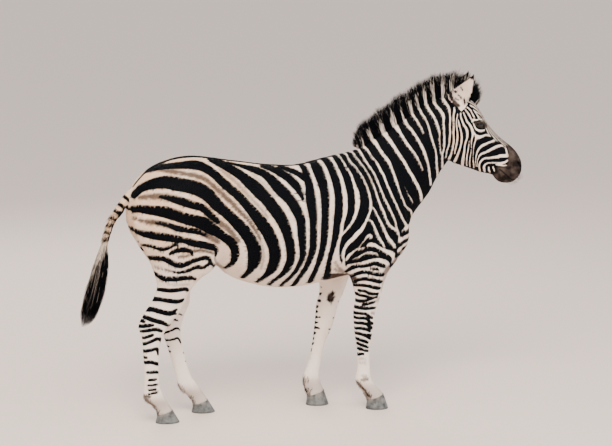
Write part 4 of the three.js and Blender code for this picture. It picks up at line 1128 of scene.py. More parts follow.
def is_ear(p):
    """True where a point is on an ear, above the crown and off the middle."""
    x, y, z = p.T
    crown = np.interp(x, [0.72, 0.80, 0.86, 0.90], [1.60, 1.592, 1.575, 1.56])
    off_middle = np.abs(y) > np.interp(z, [1.58, 1.62, 1.65], [0.075, 0.055, 0.03])
    return (z > crown) & off_middle & (x > 0.72) & (x < 0.90)


def set_values(obj, values):
    """Stores each array as a float attribute on the points."""
    for name, value in values.items():
        layer = obj.data.attributes.new(name, "FLOAT", "POINT")
        layer.data.foreach_set("value", np.ascontiguousarray(value, np.float32))


# %% [markdown]
# ## Fewer triangles where they are not needed
# The grown skin has far more triangles than a reused part should carry. Thinning adds a price
# to each edge, its length over the length wanted there, so edges grow to what each region needs:
# short on the face and along the edges of the bands, long in the middle of a wide band. Round
# the eye, nostril and mouth none is taken away.
# %% Thin the skin
SKIN_TRIANGLES = 194_000


def wanted_length(p, edge):
    """The length wanted for edges in millimetres, longer with distance from a band's edge."""
    x, _, z = p.T
    length = np.where((x > 0.30) & (z > 1.0), 7.5, 9.0)
    length = np.where(z < 0.66, 5.6, length)
    length = np.where(x < -0.93, 5.0, length)
    length = length * (1 + 0.6 * np.clip(np.abs(edge) - 0.6, 0, 3))
    return np.where(x > 0.78, 3.4, length)


p = points_of(skin)
length = wanted_length(p, markings(p, normals_of(skin))["edge"])
weights = np.round(np.where(fine_places(p), 0, 1 - 2 / length), 2)
group = skin.vertex_groups.new(name="thin")
for value in np.unique(weights):
    group.add(np.flatnonzero(weights == value).tolist(), float(value), "REPLACE")
before = sum(len(f.vertices) - 2 for f in skin.data.polygons)
set_points(skin, p * 100)
thin = skin.modifiers.new("thin", "DECIMATE")
thin.ratio = SKIN_TRIANGLES / before
thin.vertex_group = group.name
apply_modifiers(skin)
skin.vertex_groups.clear()
set_points(skin, points_of(skin) / 100)
skin.data.shade_smooth()
print("skin has", len(skin.data.polygons), "of", before, "triangles")

# %% Markings on the skin
skin_straight = points_of(skin)
skin_normal = normals_of(skin)
set_values(skin, markings(skin_straight, skin_normal))
print("markings on the skin's", len(skin_straight), "points")

# %% [markdown]
# ## Hair as a finish
# A zebra's hair is short, matt and lies flat, and its bands are hair of two colours, so their
# edges are ragged. One recipe serves skin and tufts. The stored edge distance, roughened by
# noise, chooses black or white hair. Brown, dark and buff are mixed over it, and a fine bump
# stands for its nap. A hair is a tenth of a millimetre thick, so strands and nap are drawn some
# twenty times as coarse to show at all.
# %% Colours of the hair
HAIR_BLACK = "#030509"
HAIR_WHITE = "#f6efe8"
HAIR_BUFF = "#e2c3a6"
# Brown of the shadow bands, also used for the painted shade in the folds.
BROWN_BANDS_AND_FOLD_SHADE = "#403129"
SKIN_DARK = "#171210"
SKIN_GREY = "#584c45"
# Size in millimetres of one lump of each noise, then its detail.
WISPS, STRANDS, PATCHES, MOTTLE, NAP = (10.53, 2.0), (2.38, 2.0), (143, 4.0), (41.7, 3.0), (1.92, 3.0)

# %% Helpers for finishes


def new_finish(name, roughness):
    """A material with its tree and the inputs of its shader."""
    material = bpy.data.materials.new(name)
    material.use_nodes = True
    inputs = material.node_tree.nodes["Principled BSDF"].inputs
    inputs["Roughness"].default_value = roughness
    return material, material.node_tree, inputs


def add_node(tree, kind, inputs, output=0, **settings):
    """Adds a node, sets its properties, sets or links its inputs, and gives one output."""
    node = tree.nodes.new("ShaderNode" + kind)
    for key, value in settings.items():
        setattr(node, key, value)
    for key, value in inputs.items():
        if isinstance(value, bpy.types.NodeSocket):
            tree.links.new(value, node.inputs[key])
        else:
            node.inputs[key].default_value = value
    return node.outputs[output]


# %% The hair's recipe
RGBA = dict(output=2, data_type="RGBA")


def hair_finish(name, bump, roughness=0.62):
    """Ragged edges, then white with buff or black, brown, and bare skin; a bump in metres."""
    material, tree, shader = new_finish(name, roughness)
    where = add_node(tree, "TexCoord", {}, "Object")
    edge, brown, dark, buff = (
        add_node(tree, "Attribute", {}, "Fac", attribute_name=value)
        for value in ("edge", "brown", "dark", "buff")
    )
    wisps, strands, patches, mottle = (
        add_node(tree, "TexNoise", {"Vector": where, "Scale": 1000 / size, "Detail": detail})
        for size, detail in (WISPS, STRANDS, PATCHES, MOTTLE)
    )
    # Noise is 0.5 on average, so both shifts of the edge, in cm, are 0 on average.
    wisps = add_node(tree, "Math", {0: wisps, 1: 0.5, 2: -0.25}, operation="MULTIPLY_ADD")
    strands = add_node(tree, "Math", {0: strands, 1: 0.4, 2: -0.20}, operation="MULTIPLY_ADD")
    ragged = add_node(tree, "Math", {0: wisps, 1: strands}, operation="ADD")
    edge = add_node(tree, "Math", {0: edge, 1: ragged}, operation="ADD")
    light = add_node(tree, "MapRange", {"Value": edge, "From Min": -0.12, "From Max": 0.12})
    uneven = add_node(tree, "Math", {0: patches, 1: 1.6, 2: 0.2}, operation="MULTIPLY_ADD")
    buff = add_node(tree, "Math", {0: buff, 1: uneven}, operation="MULTIPLY")
    brown = add_node(tree, "Math", {0: brown, 1: light}, operation="MULTIPLY")
    mottle = add_node(tree, "MapRange", {"Value": mottle, "From Min": 0.42, "From Max": 0.80})
    pale = add_node(tree, "Mix", {0: buff, 6: srgb(HAIR_WHITE), 7: srgb(HAIR_BUFF)}, **RGBA)
    coat = add_node(tree, "Mix", {0: light, 6: srgb(HAIR_BLACK), 7: pale}, **RGBA)
    coat = add_node(tree, "Mix", {0: brown, 6: coat, 7: srgb(BROWN_BANDS_AND_FOLD_SHADE)}, **RGBA)
    bare = add_node(tree, "Mix", {0: mottle, 6: srgb(SKIN_DARK), 7: srgb(SKIN_GREY)}, **RGBA)
    coat = add_node(tree, "Mix", {0: dark, 6: coat, 7: bare}, **RGBA)
    tree.links.new(coat, shader["Base Color"])
    shader["Specular IOR Level"].default_value = 0.05
    if bump:
        nap = add_node(tree, "TexNoise", {"Vector": where, "Scale": 1000 / NAP[0], "Detail": NAP[1]})
        raised = add_node(tree, "Bump", {"Height": nap, "Distance": bump, "Strength": 0.6})
        tree.links.new(raised, shader["Normal"])
    return material


SHORT_HAIR = hair_finish("short hair lying flat", 0.0012)
skin.data.materials.append(SHORT_HAIR)
print("finish:", SHORT_HAIR.name, len(SHORT_HAIR.node_tree.nodes), "nodes")

# %% [markdown]
# ## The coat
# Real hair is far too fine to model one by one, so a tuft stands for a small lock: a thin
# three-sided blade of ten triangles, bent so that it leaves the skin at a low angle and lies
# down again. Roots are spread over the skin by area, closer on the face and legs, and each tuft
# takes the markings at its root, which makes the edges of the bands as ragged as real ones.
# %% Roots on the skin


def triangles_of(obj):
    """The corners of the object's triangles as an (n, 3) array of point numbers."""
    obj.data.calc_loop_triangles()
    return read(obj.data.loop_triangles, "vertices", 3, np.int64)


def spread_roots(points, normals, triangles, density, number):
    """Random places on the triangles, in proportion to area times density."""
    a, b, c = (points[triangles[:, k]] for k in range(3))
    area = np.linalg.norm(np.cross(b - a, c - a), axis=1) / 2
    total = np.cumsum(area * density((a + b + c) / 3))
    wanted = (np.arange(number) + rng.random(number)) / number * total[-1]
    chosen = np.searchsorted(total, wanted)
    r1, r2 = np.sqrt(rng.random(number))[:, None], rng.random(number)[:, None]
    weights = np.concatenate([1 - r1, r1 * (1 - r2), r1 * r2], 1)
    corner = triangles[chosen]
    place = np.einsum("nk,nkj->nj", weights, points[corner])
    normal = np.einsum("nk,nkj->nj", weights, normals[corner])
    return place, unit(normal)


def over_neck_line(p):
    """Height over the sloping line from the withers to the breast, where the neck begins."""
    return p[:, 2] - (1.356 - 1.378 * (p[:, 0] - 0.262))


def lie_of_coat(p):
    """The way the hair lies: back and down the body, down the legs, down the face."""
    x, _, z = p.T
    neck = smoothstep(-0.03, 0.06, over_neck_line(p))
    thigh = smoothstep(-0.50, -0.72, x)
    shoulder = smoothstep(0.02, 0.22, x) * (1 - neck)
    legs = smoothstep(0.92, 0.74, z) * (np.abs(x + 0.15) > 0.30)
    belly = smoothstep(0.80, 0.70, z) * (np.abs(x + 0.15) <= 0.30)
    head = smoothstep(0.76, 0.80, x)
    face = smoothstep(0.84, 0.92, x) * smoothstep(0.0, 0.10, z - (2.30 - 0.98 * x))
    tail = smoothstep(-0.90, -0.94, x)
    way_x = -0.95 + 0.65 * thigh + 0.45 * shoulder + 0.35 * neck
    way_z = -0.30 - 0.60 * thigh - 0.60 * shoulder - 0.45 * neck
    ear = is_ear(p).astype(float)
    for weight, to_x, to_z in (
        (belly, -0.9, 0.0), (legs, 0.0, -1.0), (head, -0.25, -0.95),
        (face * head, 0.65, -0.75), (tail, -0.45, -0.9), (ear, 0.29, 0.95),
    ):
        way_x, way_z = blend(way_x, to_x, weight), blend(way_z, to_z, weight)
    return np.stack([way_x, 0 * way_x, way_z], -1)


def unit(v):
    """Each row at length 1."""
    return v / np.maximum(np.linalg.norm(v, axis=-1, keepdims=True), 1e-9)


# %% Tufts and locks as one mesh
BAKE_PATCH = 0.003  # side of a lock's own square on the unwrapped skin


def locks(name, paths, side, up, width, values, bake, material, flatness=0.4):
    """Three-sided blades along paths, closed at the root and drawn out to a point at the tip.

    paths is (n, k, 3). Each ring but the last has corners path - w side, path + w side and
    path + 2 flatness w up, where w is half the width times 1 - t^2.2 at t along the blade.
    """
    n, k = paths.shape[:2]
    taper = np.linspace(0, 1, k)[:-1]
    taper = (1 - taper**2.2)[None, :, None]
    w = width[:, None, None] / 2 * taper
    if side.ndim == 2:
        side, up = side[:, None], up[:, None]
    body = paths[:, :-1]
    rings = np.stack([body - w * side, body + w * side, body + 2 * flatness * w * up], 2)
    points = np.concatenate([rings.reshape(n, -1, 3), paths[:, -1:]], 1)
    per = 3 * (k - 1) + 1
    faces = [[0, 1, 2]]
    for ring in range(k - 2):
        for c in range(3):
            a, b = 3 * ring + c, 3 * ring + (c + 1) % 3
            faces += [[a, a + 3, b + 3], [a, b + 3, b]]
    for c in range(3):
        faces.append([3 * (k - 2) + c, per - 1, 3 * (k - 2) + (c + 1) % 3])
    faces = np.array(faces)
    triangles = (faces[None] + (np.arange(n) * per)[:, None, None]).reshape(-1, 3)
    obj = new_object(name, turned(points.reshape(-1, 3)), triangles)
    spread = {key: np.broadcast_to(v.reshape(n, -1)[:, :1] if v.ndim == 1 else v, (n, per)).ravel()
              for key, v in values.items()}
    set_values(obj, spread)
    along = np.concatenate([np.repeat(np.linspace(0, 1, k)[:-1], 3), [1.0]]) - 0.5
    across = np.concatenate([np.tile([-0.5, 0.5, 0.0], k - 1), [0.0]])
    patch = np.stack([across, along], -1) * BAKE_PATCH
    uv = (bake[:, None, :] + patch[None]).reshape(-1, 2)
    layer = obj.data.uv_layers.new(name="OFBake")
    layer.data.foreach_set("uv", np.ascontiguousarray(uv[triangles.ravel()], np.float32).ravel())
    obj.data.materials.append(material)
    obj.data.shade_smooth()
    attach(obj, "root")
    print(name, n, "locks,", len(triangles), "triangles")
    return obj


def tuft_paths(root, normal, lie, length, lift):
    """Root just under the skin, middle and tip: at s along it, lift (s - 0.55 s^2) lengths above."""
    flow = unit(lie - (lie * normal).sum(1, keepdims=True) * normal)
    turn = rng.normal(0, 0.16, len(root))[:, None]
    side = np.cross(normal, flow)
    flow = unit(flow + turn * side)
    side = np.cross(normal, flow)
    s = np.array([0, 0.5, 1.0])[None, :, None]
    rise = lift[:, None, None] * (s - 0.55 * s**2)
    long = length[:, None, None]
    paths = root[:, None] + flow[:, None] * long * s + normal[:, None] * (rise * long - 0.0005)
    return paths, side


# %% Where each part's tufts lie on its unwrapped skin
PARTS = ["barrel", "rump", "shoulder", "neck", "head", "ears", "fore_legs", "hind_legs"]


def part_of(p):
    """The number in PARTS of each point's part."""
    x, _, z = p.T
    part = np.where(x < -0.45, 1, np.where(x > 0.10, 2, 0))
    part = np.where((over_neck_line(p) > 0) & (x > 0.15), 3, part)
    part = np.where(x > 0.778 + 0.06 * (z - 1.45), 4, part)
    part = np.where(is_ear(p), 5, part)
    leg = (z < 0.66) | ((z < 0.74) & (np.abs(x + 0.15) > 0.36))
    return np.where(leg, np.where(is_fore(p), 6, 7), part)


def unwrapped(p, part):
    """Place on the unwrap: length along the part across, angle round its middle line up."""
    x, y, z = p.T
    middle_z = np.interp(x, [-0.9, -0.5, 0.3, 0.5], [1.08, 1.05, 1.02, 1.0])
    u = [(x + 1.1) / 1.8, (x + 1.1) / 1.8, (x + 1.1) / 1.8, (z - 0.8) / 1.0, (x - 0.7) / 0.5, (z - 1.5) / 0.3]
    round_y = [z - middle_z] * 3 + [x - (0.95 - 0.55 * (z - 0.9)) + 0.35, z - (2.25 - 0.88 * x), x - 0.82]
    u += [z / 0.85, z / 0.85]
    middle, _ = leg_section(p)
    leg_x = np.interp(z, [0, 0.1, 0.25, 0.45, 0.8], [0.36, 0.32, 0.295, 0.29, 0.33])
    hind_x = np.interp(z, [0, 0.1, 0.25, 0.5, 0.8], [-0.74, -0.79, -0.82, -0.81, -0.66])
    own_y = (np.abs(y) - middle) * np.sign(y)
    chart_x = side_chart(p)[:, 0] / 100
    result = np.zeros((len(p), 2))
    for number in range(len(PARTS)):
        here = part == number
        if number < 6:
            angle = np.arctan2(y, round_y[number]) / (2 * np.pi) + 0.5
            v = angle
        else:
            centre = leg_x if number == 6 else hind_x
            angle = np.arctan2(own_y, chart_x - centre) / (2 * np.pi) + 0.5
            v = angle * 0.49 + np.where(y > 0, 0.505, 0.0)
        result[here] = np.stack([u[number], v], -1)[here]
    return np.clip(result * 0.985 + 0.0075, 0.002, 0.998)


# %% Spread the tufts
TUFTS = 100_000
MOST_IN_A_PIECE = 19_000


def closeness(p):
    """Tufts to an area, against 1 on the barrel."""
    x, _, z = p.T
    dense = np.where(x > 0.78, 2.3, 1.0)
    dense = np.where((z < 0.74) & (np.abs(x + 0.15) > 0.33), 1.5, dense)
    return np.where(is_ear(p), 3.0, dense)


root, normal = spread_roots(skin_straight, skin_normal, triangles_of(skin), closeness, TUFTS)
u_eye, v_eye = eye_coordinates(root)
clear_of_eye = almond(u_eye, v_eye) > 1.25
below_coronet = root[:, 2] > 0.075
near_nostril = distance_to(root[:, [0, 2]] * 100, NOSTRIL_LINE, 2.0) > 0.2
keep = clear_of_eye & below_coronet & near_nostril
root, normal = root[keep], normal[keep]
part = part_of(root)
length = np.interp(part, range(8), [0.0130, 0.0135, 0.0120, 0.0115, 0.0070, 0.0095, 0.0085, 0.0085])
length *= rng.uniform(0.75, 1.25, len(root))
length = np.where((part == 4) & (root[:, 0] > 1.02), length * 0.55, length)
width = length * rng.uniform(0.18, 0.25, len(root))
lift = rng.uniform(0.10, 0.26, len(root))
paths, across = tuft_paths(root, normal, lie_of_coat(root), length, lift)
mark = markings(root, normal)
bake = unwrapped(root, part)
for number, part_name in enumerate(PARTS):
    here = np.flatnonzero(part == number)
    pieces = math.ceil(len(here) / MOST_IN_A_PIECE)
    for piece in range(pieces):
        some = here[piece::pieces]
        label = f"coat_{part_name}" + (f"_{piece + 1}" if pieces > 1 else "")
        values = {key: value[some] for key, value in mark.items()}
        locks(label, paths[some], across[some], normal[some], width[some], values, bake[some], SHORT_HAIR)

# %% [markdown]
# ## Mane and tail
# A zebra's mane stands upright, and its bands carry on those of the neck. Each lock runs from the
# crest to the outline of the hair. The tail's tuft hangs from the end of the dock: its locks
# follow the tail's middle line, spread as it widens, and turn from grey to black.
# %% Where the mane and the tail's tuft run (rungs as for the body)
MANE = [
    [252, 1430, 275, 1352, 12], [285, 1493, 330, 1385, 19], [365, 1555, 410, 1435, 20],
    [460, 1624, 500, 1490, 20], [560, 1684, 590, 1545, 20], [655, 1735, 670, 1590, 20],
    [750, 1755, 750, 1612, 19], [830, 1745, 815, 1612, 18], [885, 1710, 850, 1600, 16],
    [910, 1660, 872, 1585, 14], [908, 1602, 890, 1570, 9],
]
TUFT = [
    [-1020, 1018, -982, 1000, 19], [-1048, 930, -1010, 918, 21], [-1070, 865, -1012, 852, 26],
    [-1098, 790, -1014, 780, 34], [-1128, 700, -1028, 690, 40], [-1153, 610, -1056, 595, 38],
    [-1172, 535, -1088, 520, 30], [-1182, 500, -1115, 488, 16],
]


def along_lock(k):
    """How far along a lock of k rings each of its points lies, 0 at the root."""
    return np.append(np.repeat(np.linspace(0, 1, k)[:-1], 3), 1.0)


# %% Mane
MANE_LOCKS = 5200
MANE_RINGS = 6
t = (np.arange(MANE_LOCKS) + rng.random(MANE_LOCKS)) / MANE_LOCKS
rung = smooth_curve(MANE, t) / 1000
across = rng.uniform(-1, 1, MANE_LOCKS)
foot = np.stack([rung[:, 2], across * rung[:, 4] * 0.80, rung[:, 3]], -1)
head_end = np.stack([rung[:, 0], across * rung[:, 4] * 0.55, rung[:, 1]], -1)
rise = head_end - foot
foot = foot - 0.12 * rise
end_fade = smoothstep(0, 0.04, t) * 0.35 + 0.65
clump = 0.045 * np.sin(150 * t) + 0.035 * np.sin(61 * t + 1)
reach = (rng.uniform(0.83, 0.97, MANE_LOCKS) + clump) * end_fade
lean = rng.normal(0, 0.012, (MANE_LOCKS, 1)) * np.array([[1.0, 0, 0.4]])
s = np.linspace(0, 1, MANE_RINGS)[None, :, None]
sway = rng.normal(0, 0.004, (MANE_LOCKS, 1, 3)) * np.sin(np.pi * s)
mane_paths = foot[:, None] + (rise[:, None] * 1.12 * reach[:, None, None] + lean[:, None] * s) * s + sway
mane_paths[:, :, 1] += (rng.normal(0, 0.0035, (MANE_LOCKS, 1)) * s[:, :, 0] ** 2)
crest = np.stack([rung[:, 2] + 0.012, np.full(MANE_LOCKS, -0.012), rung[:, 3] - 0.016], -1)
crest += rng.normal(0, 0.0025, crest.shape)
mark = markings(crest, np.tile([0.0, -1.0, 0.2], (MANE_LOCKS, 1)))
tip = along_lock(MANE_RINGS)[None]
edge = mark["edge"][:, None] * np.ones_like(tip)
dark_from = 0.42 + 0.26 * smoothstep(0.25, 0.55, t)[:, None]
dark_tip = smoothstep(0, 0.36, tip - dark_from + rng.normal(0, 0.06, (MANE_LOCKS, 1)))
forelock = smoothstep(0.60, 0.64, t)[:, None]
edge = np.where(rng.random((MANE_LOCKS, 1)) < forelock * 0.94, -1.5 + 0 * edge, edge)
edge = edge - dark_tip * (edge + 1.2) * (edge > 0) * 0.9
values = {"edge": edge, "brown": 0.5 * dark_tip + 0 * edge, "dark": 0 * edge, "buff": 0.3 + 0 * edge}
bake = np.stack([0.01 + 0.98 * t, 0.5 + 0.45 * across], -1)
LONG_HAIR = hair_finish("coarse hair of mane and tail", 0.0, roughness=0.55)
mane_width = rng.uniform(0.0022, 0.0036, MANE_LOCKS)
side = np.tile([1.0, 0.0, 0.0], (MANE_LOCKS, 1))
up = np.stack([0 * t, np.sign(across), 0 * t], -1)
mane = locks("mane", mane_paths, side, up, mane_width, values, bake, LONG_HAIR, flatness=0.35)
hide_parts("mane")

# %% Tail tuft
TAIL_LOCKS = 2100
TAIL_RINGS = 10
start = rng.beta(1.0, 1.6, TAIL_LOCKS) * 0.62
span = rng.uniform(0.36, 0.62, TAIL_LOCKS)
stop = np.minimum(start + span, rng.uniform(0.78, 0.995, TAIL_LOCKS))
t = start[:, None] + (stop - start)[:, None] * np.linspace(0, 1, TAIL_RINGS)[None]
rung = smooth_curve(TUFT, t.ravel()).reshape(TAIL_LOCKS, TAIL_RINGS, 5) / 1000
centre = (rung[:, :, 0:2] + rung[:, :, 2:4]) / 2
arm = (rung[:, :, 0:2] - rung[:, :, 2:4]) / 2
angle = rng.uniform(0, 2 * np.pi, TAIL_LOCKS)[:, None]
out = np.sqrt(rng.random(TAIL_LOCKS))[:, None]
grow = np.linspace(0, 1, TAIL_RINGS)[None]
radius = 0.35 + (0.93 * out - 0.35) * smoothstep(0, 0.55, grow)
close = 1 - 0.7 * smoothstep(0.74, 1.0, t)
radius = radius * close
wave = 0.0035 * np.sin(grow * rng.uniform(4, 9, (TAIL_LOCKS, 1)) + rng.uniform(0, 6, (TAIL_LOCKS, 1)))
x = centre[:, :, 0] + arm[:, :, 0] * radius * np.cos(angle) + wave
z = centre[:, :, 1] + arm[:, :, 1] * radius * np.cos(angle)
y = rung[:, :, 4] * radius * np.sin(angle) + wave[:, ::-1]
tail_paths = np.stack([x, y, z], -1)
ring_t = np.append(np.repeat(t[:, :-1], 3, axis=1), t[:, -1:], axis=1)
behind = np.clip(np.cos(angle), 0, 1)
turn_black = rng.normal(0.21, 0.07, (TAIL_LOCKS, 1)) + 0.30 * behind * rng.random((TAIL_LOCKS, 1))
pale_lock = rng.random((TAIL_LOCKS, 1)) < 0.02 + 0.09 * behind
turn_black = turn_black + 0.50 * pale_lock
edge = 3.0 - 6.0 * smoothstep(-0.06, 0.06, ring_t - turn_black)
values = {"edge": edge, "brown": 0.15 + 0.35 * pale_lock + 0 * edge,
          "dark": 0 * edge, "buff": 0.35 + 0 * edge}
bake = np.stack([0.01 + 0.98 * start, 0.01 + 0.98 * angle[:, 0] / (2 * np.pi)], -1)
side = np.tile([0.0, 1.0, 0.0], (TAIL_LOCKS, 1))
up = np.tile([1.0, 0.0, 0.0], (TAIL_LOCKS, 1))
tuft = locks("tail_tuft", tail_paths, side, up, rng.uniform(0.0022, 0.0040, TAIL_LOCKS), values, bake,
             LONG_HAIR, flatness=0.5)
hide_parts("tail_switch")

# %% [markdown]
# ## Longer hairs here and there
# Pale hair fills the ear, lashes fringe the upper lid and stiff whiskers stand on the muzzle. A
# brownish tuft hangs behind each fetlock, a black one over each heel, and a fringe on the dock.
# All are locks like those of the mane, with roots only where such hair grows.
# %% Ear hair, fetlocks, heels and the fringe of the dock


def long_hairs(name, place, wanted, number, flow, length, lift, width, tint=None):
    """Locks of one kind rooted where `place` and `wanted` hold; ranges are of length, lift, width."""
    spot, nrm = spread_roots(skin_straight, skin_normal, triangles_of(skin),
                             lambda centre: place(centre).astype(float), number)
    good = wanted(spot, nrm)
    spot, nrm = spot[good], nrm[good]
    size = rng.uniform(*length, len(spot))
    ways = flow(spot, nrm)
    tracks, over = tuft_paths(spot, nrm, ways, size, rng.uniform(*lift, len(spot)))
    marks = markings(spot, nrm)
    if tint is not None:
        marks.update({key: np.full(len(spot), value) for key, value in tint.items()})
    where = unwrapped(spot, part_of(spot))
    locks(name, tracks, over, nrm, rng.uniform(*width, len(spot)), marks, where, LONG_HAIR)


def ear_side(spot, nrm):
    """The hollow side of the ear, which faces outwards."""
    return nrm[:, 1] * np.sign(spot[:, 1]) > 0.1


def ear_flow(spot, nrm):
    """Up the ear and back across the hollow."""
    return np.tile([0.35, 0.0, 1.0], (len(spot), 1))


long_hairs("hair_in_the_ears", is_ear, ear_side, 1800, ear_flow,
           (0.007, 0.013), (0.25, 0.5), (0.0010, 0.0018))


def fetlock_place(centre):
    """Behind each fetlock, on the side chart."""
    xz = side_chart(centre)
    hind = np.hypot(xz[:, 0] + 85.2, xz[:, 1] - 13.5) < 2.6
    fore = np.hypot(xz[:, 0] - 26.0, xz[:, 1] - 14.0) < 2.4
    return hind | fore


def backward(spot, nrm):
    """Down and back."""
    return np.tile([-0.35, 0.0, -1.0], (len(spot), 1))


long_hairs("fetlock_tufts", fetlock_place, lambda spot, nrm: nrm[:, 0] < 0.2, 260, backward,
           (0.014, 0.026), (0.25, 0.6), (0.0014, 0.0022), {"edge": 3.0, "brown": 0.7, "dark": 0.25})


def heel_place(centre):
    """The back of each pastern just over the heel, on the side chart."""
    xz = side_chart(centre)
    hind = np.hypot(xz[:, 0] + 80.5, xz[:, 1] - 7.0) < 2.6
    fore = np.hypot(xz[:, 0] - 31.0, xz[:, 1] - 7.6) < 2.5
    return hind | fore


long_hairs("heel_tufts", heel_place, lambda spot, nrm: nrm[:, 0] < 0.3, 320, backward,
           (0.014, 0.026), (0.15, 0.45), (0.0012, 0.0020), {"edge": -FAR, "brown": 0.0, "dark": 0.2})


def dock_place(centre):
    """The outer edge of the lower dock."""
    return (centre[:, 0] < -0.95) & (centre[:, 2] < 1.08)


long_hairs("fringe_of_the_dock", dock_place, lambda spot, nrm: nrm[:, 0] < 0.5, 520, backward,
           (0.018, 0.040), (0.20, 0.45), (0.0012, 0.0020))

# %% Lashes and whiskers
LASHES = 46
u = np.linspace(-0.9, 0.85, LASHES) * OPENING_LONG
v = OPENING_UP * np.clip(1 - (u / OPENING_LONG) ** 2, 0, 1) ** 0.8
c, s = math.cos(LID_TILT), math.sin(LID_TILT)
roots = []
for sign in (-1, 1):
    depth = np.sqrt(np.clip((EYE_RADIUS + 0.002) ** 2 - u**2 - v**2, 0, None))
    roots.append(np.stack([EYE[0] + u * c - v * s, sign * (EYE[1] + depth), EYE[2] + u * s + v * c], -1))
roots = np.vstack(roots)
sign = np.sign(roots[:, 1])
size = rng.uniform(0.007, 0.012, len(roots))[:, None, None]
s = np.array([0, 0.5, 1.0])[None, :, None]
out = np.stack([0.25 + 0 * sign, sign * 0.9, -0.15 + 0 * sign], -1)[:, None]
down = np.array([0.1, 0, -0.5])[None, None]
lash_paths = roots[:, None] + size * (out * s + down * s**2)
zero = np.zeros(len(roots))
black = {"edge": zero - 3, "brown": zero, "dark": zero, "buff": zero}
side, up = np.stack([zero + 1, zero, zero], -1), np.stack([zero, zero, zero + 1], -1)
locks("lashes", lash_paths, side, up, zero + 0.0007, black, unwrapped(roots, zero + 4), LONG_HAIR)


def whisker_place(centre):
    """Lips and chin."""
    return (centre[:, 0] > 1.06) & (centre[:, 2] < 1.235)


long_hairs("whiskers", whisker_place, lambda spot, nrm: nrm[:, 2] < 0.4, 110,
           lambda spot, nrm: nrm + np.array([0.5, 0, -0.4]), (0.018, 0.032), (1.2, 2.2), (0.0006, 0.0008),
           {"edge": -3.0, "brown": 0.0, "dark": 0.0})

# %% [markdown]
# ## Eyes
# A zebra's eye is wet and almost black, with an oval pupil that lies along the lids. The ball is
# one smooth sphere. How far each point turns from the gaze chooses pupil, brown iris and dark
# rim, which needs no image and no seam, and a clear coat over them gives the wet highlight.
# %% Eyeballs
PUPIL, IRIS, IRIS_EDGE = "#040405", "#140b06", "#070505"
PUPIL_LONG, PUPIL_HIGH = 0.34, 0.17  # half sizes, in radii of the ball
EYE_RINGS, EYE_AROUND = 40, 56


def eye_finish():
    """Wet dark eye: pupil where the oval is under 1, then iris, then rim, by angle from the gaze."""
    material, tree, shader = new_finish("wet eye", 0.08)
    ring = add_node(tree, "Attribute", {}, "Fac", attribute_name="ring")
    oval = add_node(tree, "Attribute", {}, "Fac", attribute_name="oval")
    inner = add_node(tree, "MapRange", {"Value": oval, "From Min": 0.92, "From Max": 1.08})
    outer = add_node(tree, "MapRange", {"Value": ring, "From Min": 0.60, "From Max": 0.78})
    colour = add_node(tree, "Mix", {0: inner, 6: srgb(PUPIL), 7: srgb(IRIS)}, **RGBA)
    colour = add_node(tree, "Mix", {0: outer, 6: colour, 7: srgb(IRIS_EDGE)}, **RGBA)
    tree.links.new(colour, shader["Base Color"])
    shader["Specular IOR Level"].default_value = 0.30
    shader["Coat Weight"].default_value = 0.35
    shader["Coat Roughness"].default_value = 0.02
    return material


WET_EYE = eye_finish()
for side_name, sign in (("right", -1), ("left", 1)):
    turn = np.linspace(0, 2 * np.pi, EYE_AROUND, endpoint=False)[None]
    fall = np.linspace(0, np.pi, EYE_RINGS + 1)[:, None]
    gaze = np.cos(fall) + 0 * turn
    ax, az = np.sin(fall) * np.cos(turn), np.sin(fall) * np.sin(turn)
    y = sign * (EYE[1] + EYE_RADIUS * gaze)
    ball = np.stack([EYE[0] + EYE_RADIUS * ax, y, EYE[2] + EYE_RADIUS * az], -1)
    quads = tube_faces(EYE_RINGS, EYE_AROUND)[:, ::sign]
    eye = new_object(f"eyeball_{side_name}", turned(ball), quads)
    long_axis = ax * math.cos(LID_TILT) + az * math.sin(LID_TILT)
    short_axis = az * math.cos(LID_TILT) - ax * math.sin(LID_TILT)
    oval = np.hypot(long_axis / PUPIL_LONG, short_axis / PUPIL_HIGH) + (gaze < 0) * 9
    set_values(eye, {"ring": np.arccos(np.clip(gaze, -1, 1)).ravel(), "oval": oval.ravel()})
    eye.data.materials.append(WET_EYE)
    eye.data.shade_smooth()
    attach(eye, "root")
    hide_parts(f"eye_{side_name}")
print("two eyes, radius", EYE_RADIUS)

# %% [markdown]
# ## Hooves
# A hoof is a horn shoe: a wall with rings of growth, paler at the coronet, darker towards its edge
# on the ground. It could be a block of its own. Here it is the lower end of the leg's loft, cut
# by two planes, so it carries the leg's outline on to the ground.
# %% Hoof horn


HORN_GREY, HORN_PALE, HORN_NEAR_GROUND, HORN_DARK = "#6c706e", "#87827a", "#2b2725", "#2b2f34"
BLOTCH_MM = 23.8
RING_HEIGHT = 0.0065
HORN_SWELL = 0.0012
HOOF_ROWS, HOOF_AROUND = 110, 64


